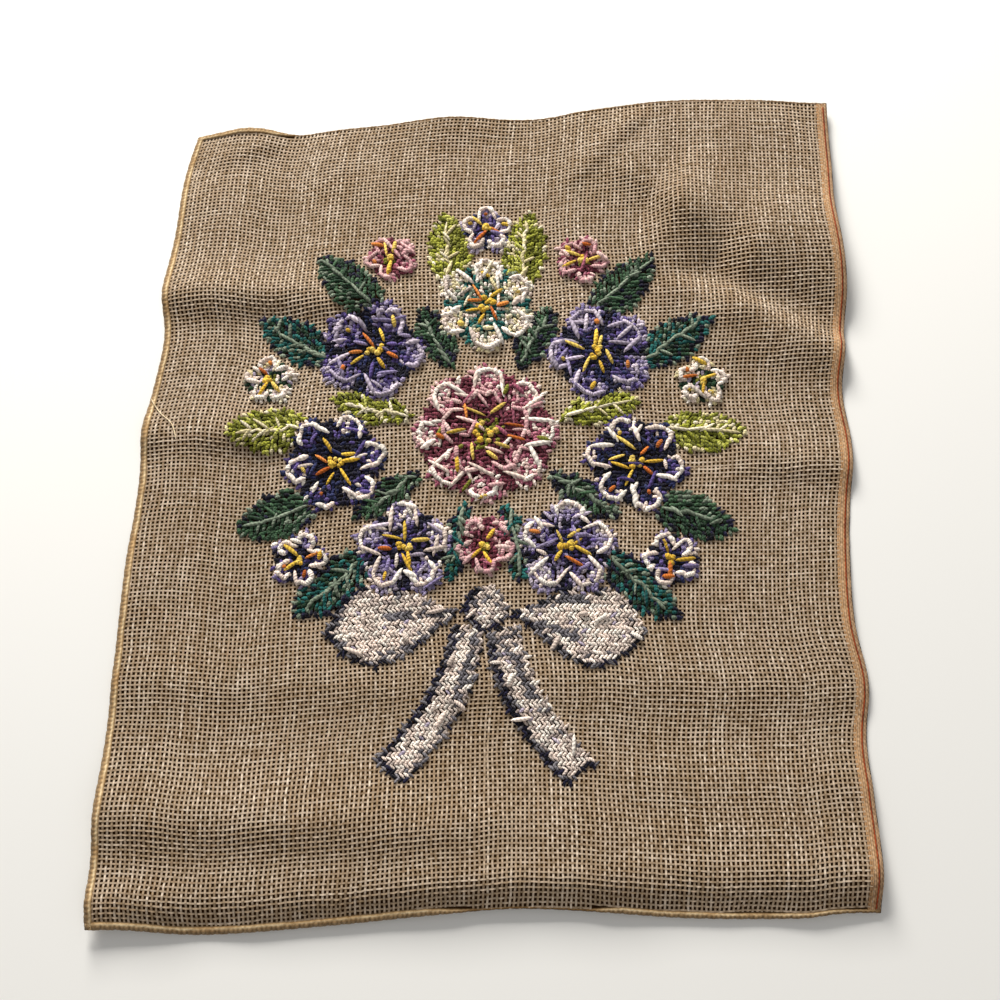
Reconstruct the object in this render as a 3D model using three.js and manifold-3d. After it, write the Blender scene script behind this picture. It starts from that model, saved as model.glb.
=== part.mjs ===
// A needlepoint canvas panel lying on a table: one cut length of open cotton canvas with narrow
// turned hems on three sides and its woven selvage on the fourth, wavy from having been folded
// away, and a round garland of flowers, leaves and a ribbon bow worked on it in thick wool.
// Millimetres. +X runs to the selvage side, +Y to the top edge, and the table is z = 0.
import * as THREE from 'three';
import { mergeVertices } from 'three/addons/utils/BufferGeometryUtils.js';
import Module from 'manifold-3d';

// Driving dimensions of the cloth.
const CANVAS_THICKNESS = 1.2;
const HEM_THICKNESS = 2.2;
const HEM_WIDTH = 4.4;
const HEM_STEP = 0.9;
const COLUMNS = 32;
const ROWS = 50;

// Driving dimensions of the wool work.
const PIECE_GAP = 0.3;
const WOOL_THICKNESS = 2.0;
const MOTIF_SPACING = 0.9;
const HEART = { x: -9, y: 24 };

// The loose thread end at the left hem.
const THREAD_DIAMETER = 0.6;
const THREAD_QUARTER_SIDES = 2;
const THREAD_STEPS = 28;

// The four corners of the panel as it lies, a little out of square.
const CORNERS = {
  topLeft: [-207, 241],
  topRight: [225, 265.5],
  bottomRight: [208.5, -257],
  bottomLeft: [-225.4, -265.5],
};

// Each edge runs between two corners and bows out from the straight line by these amounts.
// along is the share of the edge's length, out is millimetres away from the panel.
const TOP_BOWS = [
  { along: 0.08, out: 4.2 },
  { along: 0.16, out: -2.0 },
  { along: 0.23, out: 1.0 },
  { along: 0.40, out: 4.4 },
  { along: 0.50, out: 0.8 },
  { along: 0.56, out: 2.6 },
  { along: 0.62, out: 5.4 },
  { along: 0.77, out: 5.0 },
];
const RIGHT_BOWS = [
  { along: 0.10, out: 0.4 },
  { along: 0.17, out: -0.8 },
  { along: 0.28, out: 3.6 },
  { along: 0.40, out: -1.6 },
  { along: 0.48, out: 1.6 },
  { along: 0.60, out: -3.2 },
  { along: 0.69, out: -4.0 },
  { along: 0.76, out: 1.8 },
  { along: 0.83, out: -1.3 },
  { along: 0.92, out: 0.6 },
];
const BOTTOM_BOWS = [
  { along: 0.05, out: -0.4 },
  { along: 0.10, out: 1.8 },
  { along: 0.24, out: 0.6 },
  { along: 0.36, out: -3.8 },
  { along: 0.46, out: -6.2 },
  { along: 0.56, out: -4.0 },
  { along: 0.70, out: 0.6 },
  { along: 0.85, out: 3.8 },
  { along: 0.95, out: 0.4 },
];
const LEFT_BOWS = [
  { along: 0.06, out: 4.8 },
  { along: 0.14, out: 5.6 },
  { along: 0.24, out: 7.2 },
  { along: 0.31, out: 3.6 },
  { along: 0.42, out: 8.2 },
  { along: 0.50, out: 6.8 },
  { along: 0.60, out: 7.0 },
  { along: 0.80, out: 4.0 },
];

// The folds, each a crease along a line. rise is the height of its crest, far and near are how
// far its two sides run down, away from and towards the bottom edge, and fadeStart and fadeEnd
// are the lengths over which it dies away at its two ends. A fold with no fade runs off the edge.
const FOLDS = [
  { line: [[-230, 120], [-131, 117], [-20, 112]], rise: 6.5, far: 34, near: 25, fadeEnd: 110 },
  { line: [[-232, 24], [-151, 22], [-84, 20]], rise: 5.0, far: 32, near: 17, fadeEnd: 80 },
  { line: [[108, 110], [160, 105], [230, 84]], rise: 6.0, far: 24, near: 27, fadeStart: 36 },
  { line: [[112, 84], [167, 79], [200, 72]], rise: 1.8, far: 12, near: 11, fadeStart: 25, fadeEnd: 30 },
  { line: [[128, 10], [180, 6], [226, 0]], rise: 4.0, far: 24, near: 16, fadeStart: 40 },
  { line: [[-232, -132], [-58, -135], [58, -133], [224, -136]], rise: 2.2, far: 40, near: 17 },
  { line: [[-232, -206], [-113, -209], [0, -213], [110, -219]], rise: 6.2, far: 42, near: 27, fadeEnd: 190 },
  { line: [[46, -185], [131, -187], [222, -189]], rise: 2.6, far: 26, near: 17, fadeStart: 50 },
  { line: [[-236, -254], [-110, -248], [0, -240], [144, -240], [220, -236]], rise: 7.0, far: 22, near: 23 },
  { line: [[9, 232], [4, 180]], rise: 1.7, far: 11, near: 9, fadeStart: 8, fadeEnd: 26 },
  { line: [[104, 262], [72, 231], [40, 199]], rise: 1.8, far: 8, near: 6, fadeEnd: 26 },
  { line: [[-186, 224], [-146, 238]], rise: 2.2, far: 9, near: 9, fadeStart: 16, fadeEnd: 14 },
];

// Places where the cloth stands off the table in a soft swell rather than a crease.
const SWELLS = [
  { x: 150, y: 246, halfWidth: 124, halfHeight: 92, rise: 9.5 },
  { x: -30, y: 262, halfWidth: 62, halfHeight: 40, rise: 4.0 },
  { x: -170, y: 258, halfWidth: 34, halfHeight: 30, rise: 4.2 },
  { x: -226, y: -70, halfWidth: 40, halfHeight: 46, rise: 2.6 },
  { x: 216, y: -90, halfWidth: 36, halfHeight: 52, rise: 2.8 },
  { x: -190, y: 186, halfWidth: 60, halfHeight: 34, rise: 1.8 },
];

// The round motifs, set out from the heart of the garland. angle is in degrees from +X, distance
// and radius are millimetres, and notch is how deep the petals are parted. The lone ones stand on
// the upright middle line, and the paired ones have one on each side of it.
const LONE_FLOWERS = [
  { name: 'rosette_heart', angle: 90, distance: 0, radius: 46, petals: 8, notch: 0.12, wool: 'pink' },
  { name: 'flower_top', angle: 90, distance: 89, radius: 34, petals: 6, notch: 0.2, wool: 'white' },
  { name: 'blossom_foot', angle: -90, distance: 72, radius: 19, petals: 5, notch: 0.22, wool: 'pink' },
  { name: 'blossom_top', angle: 90, distance: 143, radius: 18, petals: 5, notch: 0.24, wool: 'lilac' },
];
const PAIRED_FLOWERS = [
  { name: 'flower_high', angle: 37, distance: 92, radius: 35, petals: 5, notch: 0.2, wool: 'violet' },
  { name: 'flower_side', angle: -12, distance: 95, radius: 33, petals: 6, notch: 0.2, wool: 'navy' },
  { name: 'flower_low', angle: -57, distance: 90, radius: 31, petals: 5, notch: 0.2, wool: 'lilac' },
  { name: 'blossom_high', angle: 63, distance: 137, radius: 18, petals: 5, notch: 0.24, wool: 'pink' },
  { name: 'blossom_side', angle: 14, distance: 141, radius: 17, petals: 5, notch: 0.24, wool: 'white' },
  { name: 'blossom_low', angle: -36, distance: 139, radius: 18, petals: 5, notch: 0.24, wool: 'violet' },
];

// The leaves, all pairs. Each starts at a distance from the heart and points away from it,
// turned by lean, and tucks under the flowers beside it.
const LEAVES = [
  { name: 'leaf_top', angle: 77, start: 90, length: 72, width: 28, lean: 6, wool: 'lime' },
  { name: 'leaf_high', angle: 50, start: 94, length: 72, width: 29, lean: -4, wool: 'green' },
  { name: 'leaf_upper', angle: 26, start: 98, length: 68, width: 28, lean: 5, wool: 'teal' },
  { name: 'leaf_side', angle: 1, start: 100, length: 64, width: 28, lean: -3, wool: 'lime' },
  { name: 'leaf_lower', angle: -24, start: 102, length: 64, width: 29, lean: 3, wool: 'green' },
  { name: 'leaf_low', angle: -49, start: 96, length: 70, width: 28, lean: 8, wool: 'teal' },
  { name: 'leaf_inner_high', angle: 64, start: 46, length: 52, width: 24, lean: 0, wool: 'green' },
  { name: 'leaf_inner_side', angle: 13, start: 46, length: 54, width: 24, lean: 0, wool: 'lime' },
  { name: 'leaf_inner_low', angle: -34, start: 46, length: 54, width: 22, lean: 0, wool: 'green' },
  { name: 'leaf_foot', angle: -76, start: 46, length: 54, width: 20, lean: 0, wool: 'teal' },
];

// How many points a leaf's side has, and how far past its middle it is widest, from 1.
const LEAF_SIDE = { steps: 7, belly: 1.15 };

// The bow: a knot, two loops and two tails of one wide ribbon.
const KNOT = { x: 0, y: -112, radius: 14, petals: 4, notch: 0.06 };
const LOOP = { start: 13, length: 84, width: 50, droop: -9, steps: 9, belly: 1.5 };
const TAIL = { start: 10, drop: 92, spread: 52, width: 32, topShare: 0.62, notch: 12, sweep: 12, steps: 6 };

// Wool colours, as sRGB.
const WOOL = {
  pink: 0xc9899b,
  white: 0xe4dcd8,
  violet: 0x5a4590,
  navy: 0x2c3263,
  lilac: 0xa695bd,
  lime: 0xa3a63c,
  green: 0x35593a,
  teal: 0x2e6a66,
  silver: 0xb9afab,
};
const COTTON = 0xbfa27c;
const THREAD_CREAM = 0xe6d3b0;
const ROUGHNESS = { wool: 0.95, cotton: 0.9, thread: 0.85 };

const wasm = await Module();
wasm.setup();

// Outline.

// A smooth edge from start to end. outward is 1 where the panel lies to the left of that way,
// and -1 where it lies to the right.
function edgeCurve(start, end, bows, outward) {
  const a = new THREE.Vector2(...start);
  const b = new THREE.Vector2(...end);
  const side = new THREE.Vector2(b.y - a.y, a.x - b.x).normalize().multiplyScalar(outward);
  const inner = bows.map(({ along, out }) => a.clone().lerp(b, along).addScaledVector(side, out));
  return new THREE.SplineCurve([a, ...inner, b]);
}

const reversed = (bows) => bows.map(({ along, out }) => ({ along: 1 - along, out })).reverse();
const EDGES = {
  top: edgeCurve(CORNERS.topLeft, CORNERS.topRight, TOP_BOWS, -1),
  right: edgeCurve(CORNERS.bottomRight, CORNERS.topRight, reversed(RIGHT_BOWS), 1),
  bottom: edgeCurve(CORNERS.bottomLeft, CORNERS.bottomRight, reversed(BOTTOM_BOWS), 1),
  left: edgeCurve(CORNERS.bottomLeft, CORNERS.topLeft, reversed(LEFT_BOWS), -1),
};

// A place in the panel from its shares of the width and the height, filled in between the edges.
function panelPoint(across, up) {
  const bottom = EDGES.bottom.getPointAt(across);
  const top = EDGES.top.getPointAt(across);
  const left = EDGES.left.getPointAt(up);
  const right = EDGES.right.getPointAt(up);
  const mix = (k) =>
    (1 - up) * bottom[k] + up * top[k] + (1 - across) * left[k] + across * right[k];
  const corner = (i) =>
    (1 - across) * (1 - up) * CORNERS.bottomLeft[i] +
    across * (1 - up) * CORNERS.bottomRight[i] +
    (1 - across) * up * CORNERS.topLeft[i] +
    across * up * CORNERS.topRight[i];
  return new THREE.Vector2(mix('x') - corner(0), mix('y') - corner(1));
}

// Folds.

const clamp = THREE.MathUtils.clamp;
const ease = (t) => t * t * (3 - 2 * t);

// A fold is sharp at its crest and runs out smoothly, so its side is part of a parabola.
function foldHeight(x, y, { line, rise, far, near, fadeStart = 0, fadeEnd = 0 }) {
  const lengths = line.slice(1).map((p, i) => Math.hypot(p[0] - line[i][0], p[1] - line[i][1]));
  const total = lengths.reduce((sum, length) => sum + length, 0);
  let best = { distance: Infinity };
  let walked = 0;
  lengths.forEach((length, i) => {
    const [ax, ay] = line[i];
    const dx = (line[i + 1][0] - ax) / length;
    const dy = (line[i + 1][1] - ay) / length;
    const t = clamp((x - ax) * dx + (y - ay) * dy, 0, length);
    const distance = Math.hypot(x - ax - dx * t, y - ay - dy * t);
    if (distance < best.distance) {
      const above = ((y - ay) * dx - (x - ax) * dy) * Math.sign(dx) >= 0;
      best = { distance, place: walked + t, above };
    }
    walked += length;
  });
  const across = 1 - best.distance / (best.above ? far : near);
  if (across <= 0) return 0;
  const start = fadeStart ? ease(clamp(best.place / fadeStart, 0, 1)) : 1;
  const end = fadeEnd ? ease(clamp((total - best.place) / fadeEnd, 0, 1)) : 1;
  return rise * across * across * start * end;
}

function swellHeight(x, y, { x: cx, y: cy, halfWidth, halfHeight, rise }) {
  const reach = 1 - ((x - cx) / halfWidth) ** 2 - ((y - cy) / halfHeight) ** 2;
  return reach > 0 ? rise * reach * reach : 0;
}

// How high the underside of the cloth stands over the table.
function lift(x, y) {
  const folds = FOLDS.reduce((sum, fold) => sum + foldHeight(x, y, fold), 0);
  return SWELLS.reduce((sum, swell) => sum + swellHeight(x, y, swell), folds);
}

// Cloth.

// Shares of a length at which grid lines stand, with a hem's lines at either end if it has one.
function gridLines(count, length, hemStart, hemEnd) {
  const hem = HEM_WIDTH / length;
  const step = (HEM_WIDTH + HEM_STEP) / length;
  const first = hemStart ? [0, hem, step] : [0];
  const last = hemEnd ? [1 - step, 1 - hem, 1] : [1];
  const from = first[first.length - 1];
  const to = last[0];
  const inner = Array.from({ length: count - 1 }, (_, i) => from + ((i + 1) / count) * (to - from));
  return [...first, ...inner, ...last];
}

// The panel's crossings, row by row from the bottom. The left, bottom and top edges are hemmed:
// a hem's outer and inner lines are the first two of the grid, or the last two.
const ACROSS = gridLines(COLUMNS, EDGES.bottom.getLength(), true, false);
const UP = gridLines(ROWS, EDGES.left.getLength(), true, true);
const HEM_LINES = 2;

const GRID = UP.map((up, row) =>
  ACROSS.map((across, column) => {
    const { x, y } = panelPoint(across, up);
    const hem = column < HEM_LINES || row < HEM_LINES || row >= UP.length - HEM_LINES;
    return { x, y, under: lift(x, y), hem };
  }),
);

// A closed sheet over the panel's grid, between two heights taken at each crossing.
function sheetGeometry(grid, lowAt, highAt) {
  const rows = grid.length;
  const columns = grid[0].length;
  const count = rows * columns;
  const low = grid.flat().flatMap((p) => [p.x, p.y, lowAt(p)]);
  const high = grid.flat().flatMap((p) => [p.x, p.y, highAt(p)]);
  const index = [];
  const at = (row, column) => row * columns + column;
  for (let row = 0; row < rows - 1; row += 1) {
    for (let column = 0; column < columns - 1; column += 1) {
      const a = at(row, column);
      const b = at(row, column + 1);
      const c = at(row + 1, column + 1);
      const d = at(row + 1, column);
      index.push(count + a, count + b, count + c, count + a, count + c, count + d);
      index.push(a, c, b, a, d, c);
    }
  }
  const rim = [
    ...Array.from({ length: columns - 1 }, (_, i) => at(0, i)),
    ...Array.from({ length: rows - 1 }, (_, i) => at(i, columns - 1)),
    ...Array.from({ length: columns - 1 }, (_, i) => at(rows - 1, columns - 1 - i)),
    ...Array.from({ length: rows - 1 }, (_, i) => at(rows - 1 - i, 0)),
  ];
  rim.forEach((a, i) => {
    const b = rim[(i + 1) % rim.length];
    index.push(a, b, count + b, a, count + b, count + a);
  });
  const geometry = new THREE.BufferGeometry();
  geometry.setAttribute('position', new THREE.Float32BufferAttribute([...low, ...high], 3));
  geometry.setIndex(index);
  return geometry;
}

const canvasTop = (p) => p.under + (p.hem ? HEM_THICKNESS : CANVAS_THICKNESS);
const woolFoot = (p) => canvasTop(p) + PIECE_GAP;
const woolTop = (p) => woolFoot(p) + WOOL_THICKNESS;

// Solids.

// Points nearer than this are one, in millimetres.
const SAME_POINT = 1e-4;

function solidFrom(geometry) {
  const bare = new THREE.BufferGeometry();
  bare.setAttribute('position', geometry.getAttribute('position'));
  bare.setIndex(geometry.index);
  const merged = mergeVertices(bare, SAME_POINT);
  return new wasm.Manifold(
    new wasm.Mesh({
      numProp: 3,
      vertProperties: new Float32Array(merged.getAttribute('position').array),
      triVerts: new Uint32Array(merged.index.array),
    }),
  );
}

function geometryFrom(solid) {
  const mesh = solid.getMesh();
  const geometry = new THREE.BufferGeometry();
  geometry.setAttribute('position', new THREE.BufferAttribute(mesh.vertProperties, 3));
  geometry.setIndex(new THREE.BufferAttribute(mesh.triVerts, 1));
  geometry.computeVertexNormals();
  return geometry;
}

// An upright cutter over an outline, deep enough to pass through every fold.
const CUT_DEPTH = 60;

function prism(points) {
  const shape = new THREE.Shape(points.map(([x, y]) => new THREE.Vector2(x, y)));
  const geometry = new THREE.ExtrudeGeometry(shape, { depth: CUT_DEPTH, bevelEnabled: false });
  geometry.translate(0, 0, -CUT_DEPTH / 2);
  return solidFrom(geometry);
}

// Motif outlines, in their own place on the panel. grow widens an outline all round.

const radians = THREE.MathUtils.degToRad;
const STEPS_PER_PETAL = 5;

function flowerOutline({ x, y, radius, petals, notch, turn }, grow) {
  const count = petals * STEPS_PER_PETAL;
  return Array.from({ length: count }, (_, i) => {
    const angle = (i / count) * 2 * Math.PI;
    const r = radius * (1 - notch * (0.5 - 0.5 * Math.cos(petals * angle))) + grow;
    return [x + r * Math.cos(angle + turn), y + r * Math.sin(angle + turn)];
  });
}

// A lens or drop shape along a line: belly is how far past its middle it is widest, from 1.
const FULLNESS = 0.85;

function dropOutline({ x, y, length, width, heading, belly, steps }, grow) {
  const local = (step, side) => {
    const share = step / steps;
    const half = (width / 2 + grow) * Math.sin(Math.PI * share ** belly) ** FULLNESS;
    return [share * (length + 2 * grow) - grow, side * half];
  };
  const near = Array.from({ length: steps }, (_, i) => local(i, 1));
  const far = Array.from({ length: steps - 1 }, (_, i) => local(steps - 1 - i, -1));
  const tip = [length + grow, 0];
  return [...near, tip, ...far].map(([a, b]) => [
    x + a * Math.cos(heading) - b * Math.sin(heading),
    y + a * Math.sin(heading) + b * Math.cos(heading),
  ]);
}

// A ribbon tail swinging down and outwards, with a notch cut in its end.
function tailOutline(hand, grow) {
  const { start, drop, spread, width, topShare, notch, sweep, steps } = TAIL;
  const middle = (share) => [
    HEART.x + hand * (start + spread * share - sweep * Math.sin(Math.PI * share)),
    HEART.y + KNOT.y - start - drop * share,
  ];
  const row = (side) =>
    Array.from({ length: steps + 1 }, (_, i) => {
      const [x, y] = middle(i / steps);
      const half = (width / 2 + grow) * (topShare + (1 - topShare) * (i / steps));
      return [x + side * half, y];
    });
  const [endX, endY] = middle(1);
  return [...row(-1), [endX, endY + notch], ...row(1).reverse()];
}

// Each motif, in the order in which it lies over its neighbours.
const bothHands = (row) => [
  { ...row, name: row.name + '_left', hand: -1 },
  { ...row, name: row.name + '_right', hand: 1 },
];

const loneHand = (row) => ({ ...row, hand: 1 });
const allFlowers = [...LONE_FLOWERS.map(loneHand), ...PAIRED_FLOWERS.flatMap(bothHands)];
const flowers = allFlowers.map((row) => {
  const angle = radians(row.angle);
  const place = {
    ...row,
    x: HEART.x + row.hand * row.distance * Math.cos(angle),
    y: HEART.y + row.distance * Math.sin(angle),
    turn: row.hand > 0 ? angle : Math.PI - angle,
  };
  return { ...row, outline: (grow) => flowerOutline(place, grow) };
});

const knotPlace = { ...KNOT, x: HEART.x + KNOT.x, y: HEART.y + KNOT.y, turn: 0 };
const knot = {
  name: 'bow_knot',
  wool: 'silver',
  outline: (grow) => flowerOutline(knotPlace, grow),
};

const loops = bothHands({ name: 'bow_loop', wool: 'silver' }).map((row) => {
  const droop = radians(LOOP.droop);
  const shape = {
    ...LOOP,
    x: HEART.x + row.hand * LOOP.start * Math.cos(droop),
    y: HEART.y + KNOT.y + LOOP.start * Math.sin(droop),
    heading: row.hand > 0 ? droop : Math.PI - droop,
  };
  return { ...row, outline: (grow) => dropOutline(shape, grow) };
});

const tails = bothHands({ name: 'bow_tail', wool: 'silver' }).map((row) => ({
  ...row,
  outline: (grow) => tailOutline(row.hand, grow),
}));

const leaves = LEAVES.flatMap(bothHands).map((row) => {
  const angle = radians(row.angle);
  const heading = radians(row.angle + row.lean);
  const shape = {
    ...row,
    ...LEAF_SIDE,
    x: HEART.x + row.hand * row.start * Math.cos(angle),
    y: HEART.y + row.start * Math.sin(angle),
    heading: row.hand > 0 ? heading : Math.PI - heading,
  };
  return { ...row, outline: (grow) => dropOutline(shape, grow) };
});

const motifs = [...flowers, knot, ...loops, ...tails, ...leaves];

// Each motif is cut out of one layer of wool over the whole canvas, less those it lies under.
const woolLayer = solidFrom(sheetGeometry(GRID, woolFoot, woolTop));

function motifSolid(motif, above) {
  const own = woolLayer.intersect(prism(motif.outline(0)));
  const cut = above.reduce((solid, other) => solid.subtract(prism(other.outline(MOTIF_SPACING))), own);
  const pieces = cut.decompose();
  return pieces.reduce((most, piece) => (piece.volume() > most.volume() ? piece : most));
}

// The loose thread lies over the hem and a short way on to the canvas.
const THREAD_ROUTE = [
  [-219.6, 46.0],
  [-218.4, 43.6],
  [-217.0, 41.4],
  [-215.6, 39.4],
  [-214.2, 37.6],
  [-212.6, 35.8],
  [-210.8, 34.2],
  [-209.0, 32.8],
  [-207.2, 31.2],
  [-205.6, 29.4],
  [-204.3, 27.4],
  [-203.3, 25.2],
  [-202.5, 23.0],
  [-201.9, 20.8],
  [-201.6, 18.6],
];
const THREAD_CLEARANCE = 0.5;

// The height of the canvas's top at a place, on the facet of the grid that covers it.
function topAt(x, y) {
  for (let row = 0; row < GRID.length - 1; row += 1) {
    for (let column = 0; column < ACROSS.length - 1; column += 1) {
      const a = GRID[row][column];
      const c = GRID[row + 1][column + 1];
      for (const b of [GRID[row][column + 1], GRID[row + 1][column]]) {
        const whole = (b.x - a.x) * (c.y - a.y) - (c.x - a.x) * (b.y - a.y);
        const atB = ((x - a.x) * (c.y - a.y) - (c.x - a.x) * (y - a.y)) / whole;
        const atC = ((b.x - a.x) * (y - a.y) - (x - a.x) * (b.y - a.y)) / whole;
        if (atB >= 0 && atC >= 0 && atB + atC <= 1) {
          return (1 - atB - atC) * canvasTop(a) + atB * canvasTop(b) + atC * canvasTop(c);
        }
      }
    }
  }
  throw new Error('the place is off the panel');
}

function threadGeometry() {
  const radius = THREAD_DIAMETER / 2;
  const points = THREAD_ROUTE.map(
    ([x, y]) => new THREE.Vector3(x, y, topAt(x, y) + THREAD_CLEARANCE + radius),
  );
  const path = new THREE.CatmullRomCurve3(points);
  const section = new THREE.Shape().absarc(0, 0, radius, 0, 2 * Math.PI);
  return new THREE.ExtrudeGeometry(section, {
    extrudePath: path,
    steps: THREAD_STEPS,
    curveSegments: 2 * THREAD_QUARTER_SIDES,
    bevelEnabled: false,
  });
}

// Assembly.

function piece(name, geometry, color, roughness) {
  const material = new THREE.MeshStandardMaterial({ color, roughness, metalness: 0 });
  const mesh = new THREE.Mesh(geometry, material);
  mesh.name = name;
  return mesh;
}

const panel = new THREE.Group();
panel.name = 'needlepoint_canvas_panel';

const wool = new THREE.Group();
motifs.forEach((motif, i) => {
  const solid = motifSolid(motif, motifs.slice(0, i));
  wool.add(piece(motif.name, geometryFrom(solid), WOOL[motif.wool], ROUGHNESS.wool));
});

panel.add(piece('canvas', sheetGeometry(GRID, (p) => p.under, canvasTop), COTTON, ROUGHNESS.cotton));
panel.add(wool);
panel.add(piece('loose_thread', threadGeometry(), THREAD_CREAM, ROUGHNESS.thread));

// The origin is the middle of the panel's own box, at table height.
const box = new THREE.Box3().setFromObject(panel.getObjectByName('canvas'));
const middle = box.getCenter(new THREE.Vector3());
panel.position.set(-middle.x, -middle.y, 0);

export default panel;
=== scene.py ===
"""A needlepoint canvas panel: open cotton canvas with turned hems and a woven selvage, lying on a
table in its old folds, with a garland and a bow worked on it in thick wool. Metres, +Z up."""
import math

import bmesh
import bpy
import numpy as np
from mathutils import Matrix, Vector
from mathutils.bvhtree import BVHTree


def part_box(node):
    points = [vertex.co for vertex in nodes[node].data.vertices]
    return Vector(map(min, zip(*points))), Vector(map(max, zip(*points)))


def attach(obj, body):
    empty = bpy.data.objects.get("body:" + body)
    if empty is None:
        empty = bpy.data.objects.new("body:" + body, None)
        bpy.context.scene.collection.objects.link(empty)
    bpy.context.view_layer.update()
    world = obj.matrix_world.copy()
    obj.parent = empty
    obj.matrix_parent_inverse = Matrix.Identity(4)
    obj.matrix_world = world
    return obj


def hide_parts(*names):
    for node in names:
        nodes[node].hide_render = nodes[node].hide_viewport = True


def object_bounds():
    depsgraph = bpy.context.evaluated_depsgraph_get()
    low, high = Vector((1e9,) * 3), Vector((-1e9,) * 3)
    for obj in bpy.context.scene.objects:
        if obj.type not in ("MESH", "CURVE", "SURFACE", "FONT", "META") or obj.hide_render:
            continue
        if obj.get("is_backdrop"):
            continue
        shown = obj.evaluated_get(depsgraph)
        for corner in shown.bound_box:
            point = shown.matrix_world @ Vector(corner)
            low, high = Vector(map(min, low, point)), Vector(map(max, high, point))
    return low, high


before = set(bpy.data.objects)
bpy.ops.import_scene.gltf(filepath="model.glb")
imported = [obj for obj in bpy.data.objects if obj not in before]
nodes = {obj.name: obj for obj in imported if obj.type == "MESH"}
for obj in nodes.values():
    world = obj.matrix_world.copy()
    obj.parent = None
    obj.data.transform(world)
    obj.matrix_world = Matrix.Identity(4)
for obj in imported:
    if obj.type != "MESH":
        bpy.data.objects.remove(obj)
cad_low, cad_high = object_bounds()

# The camera stands over the table's near side and looks down and a little away, as a person who
# photographs the panel does.
CAMERA_PLACE = (0.00025, -0.21855, 0.635)
CAMERA_LEAN = math.radians(17.5)
CAMERA_LENS = 38.99
CAMERA_SENSOR = 36.0


def into_scene(name, data):
    thing = bpy.data.objects.new(name, data)
    bpy.context.scene.collection.objects.link(thing)
    return thing


camera = into_scene("camera", bpy.data.cameras.new("camera"))
camera.location = CAMERA_PLACE
camera.rotation_euler = (CAMERA_LEAN, 0.0, 0.0)
camera.data.lens = CAMERA_LENS
camera.data.sensor_width = CAMERA_SENSOR
bpy.context.scene.camera = camera


# The loose thread is one thin cream cotton end, pulled out of the canvas at the left hem. It
# crosses the hem and lies a short way over the canvas.
THREAD_DIAMETER = 0.0006
THREAD_CLEARANCE = 0.0005
THREAD_ROUTE = (
    (-0.21920, 0.04730), (-0.21800, 0.04490), (-0.21660, 0.04270),
    (-0.21520, 0.04070), (-0.21380, 0.03890), (-0.21220, 0.03710),
    (-0.21040, 0.03550), (-0.20860, 0.03410), (-0.20680, 0.03250),
    (-0.20520, 0.03070), (-0.20390, 0.02870), (-0.20290, 0.02630),
    (-0.20210, 0.02410), (-0.20150, 0.02210), (-0.20120, 0.01990),
)


def tree_of(*names):
    """A search tree over some CAD nodes' faces, and the node that each face belongs to."""
    points, faces, owner = [], [], []
    for number, name in enumerate(names):
        mesh = nodes[name].data
        start = len(points)
        points += [v.co.copy() for v in mesh.vertices]
        faces += [[start + i for i in p.vertices] for p in mesh.polygons]
        owner += [number] * len(mesh.polygons)
    return BVHTree.FromPolygons(points, faces), owner


canvas_tree, _ = tree_of("canvas")


CAST_FROM = 0.1


def canvas_top(x, y):
    return canvas_tree.ray_cast(Vector((x, y, CAST_FROM)), Vector((0.0, 0.0, -1.0)))[0].z


THREAD_LIFT = THREAD_CLEARANCE + THREAD_DIAMETER / 2
route = [Vector((x, y, canvas_top(x, y) + THREAD_LIFT)) for x, y in THREAD_ROUTE]
thread_curve = bpy.data.curves.new("loose_thread_end", "CURVE")
thread_curve.dimensions = "3D"
thread_curve.bevel_depth = THREAD_DIAMETER / 2
thread_curve.bevel_resolution = 2
thread_curve.resolution_u = 4
thread_curve.use_fill_caps = True
spline = thread_curve.splines.new("BEZIER")
spline.bezier_points.add(len(route) - 1)
for point, place in zip(spline.bezier_points, route):
    point.co = place
    point.handle_left_type = point.handle_right_type = "AUTO"
loose_thread = into_scene("loose_thread_end", thread_curve)


class Nodes:
    """A shader or geometry tree with its nodes added and joined in one line each."""

    def __init__(self, tree):
        self.tree = tree

    def add(self, kind, settings=(), **inputs):
        node = self.tree.nodes.new(kind)
        for name, value in dict(settings).items():
            setattr(node, name, value)
        for name, value in inputs.items():
            self.put(node, name.replace("_", " "), value)
        return node

    def put(self, node, name, value):
        socket = node.inputs[int(name)] if name.isdigit() else node.inputs[name]
        if isinstance(value, bpy.types.NodeSocket):
            self.tree.links.new(value, socket)
        elif isinstance(value, bpy.types.Node):
            self.tree.links.new(value.outputs[0], socket)
        else:
            socket.default_value = value

    def math(self, operation, *values):
        node = self.add("ShaderNodeMath", {"operation": operation})
        for number, value in enumerate(values):
            self.put(node, str(number), value)
        return node.outputs[0]

    def ramp(self, value, *stops):
        node = self.add("ShaderNodeValToRGB", Fac=value)
        marks = node.color_ramp.elements
        while len(marks) < len(stops):
            marks.new(0.5)
        for mark, (place, color) in zip(marks, stops):
            mark.position = place
            mark.color = (*color, 1.0)
        return node.outputs["Color"]

    def mix(self, share, low, high, blend="MIX"):
        node = self.add("ShaderNodeMix", {"data_type": "RGBA", "blend_type": blend})
        for name, value in (("Factor", share), ("A", low), ("B", high)):
            sockets = [s for s in node.inputs if s.name == name and s.enabled]
            if isinstance(value, bpy.types.NodeSocket):
                self.tree.links.new(value, sockets[0])
            else:
                sockets[0].default_value = value
        return [s for s in node.outputs if s.enabled][0]

    def noise(self, scale, detail):
        spot = self.add("ShaderNodeTexCoord").outputs["Object"]
        noise = self.add("ShaderNodeTexNoise", Scale=scale, Detail=detail, Vector=spot)
        return noise.outputs[0]

    def attribute(self, name, output):
        return self.add("ShaderNodeAttribute", {"attribute_name": name}).outputs[output]


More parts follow.
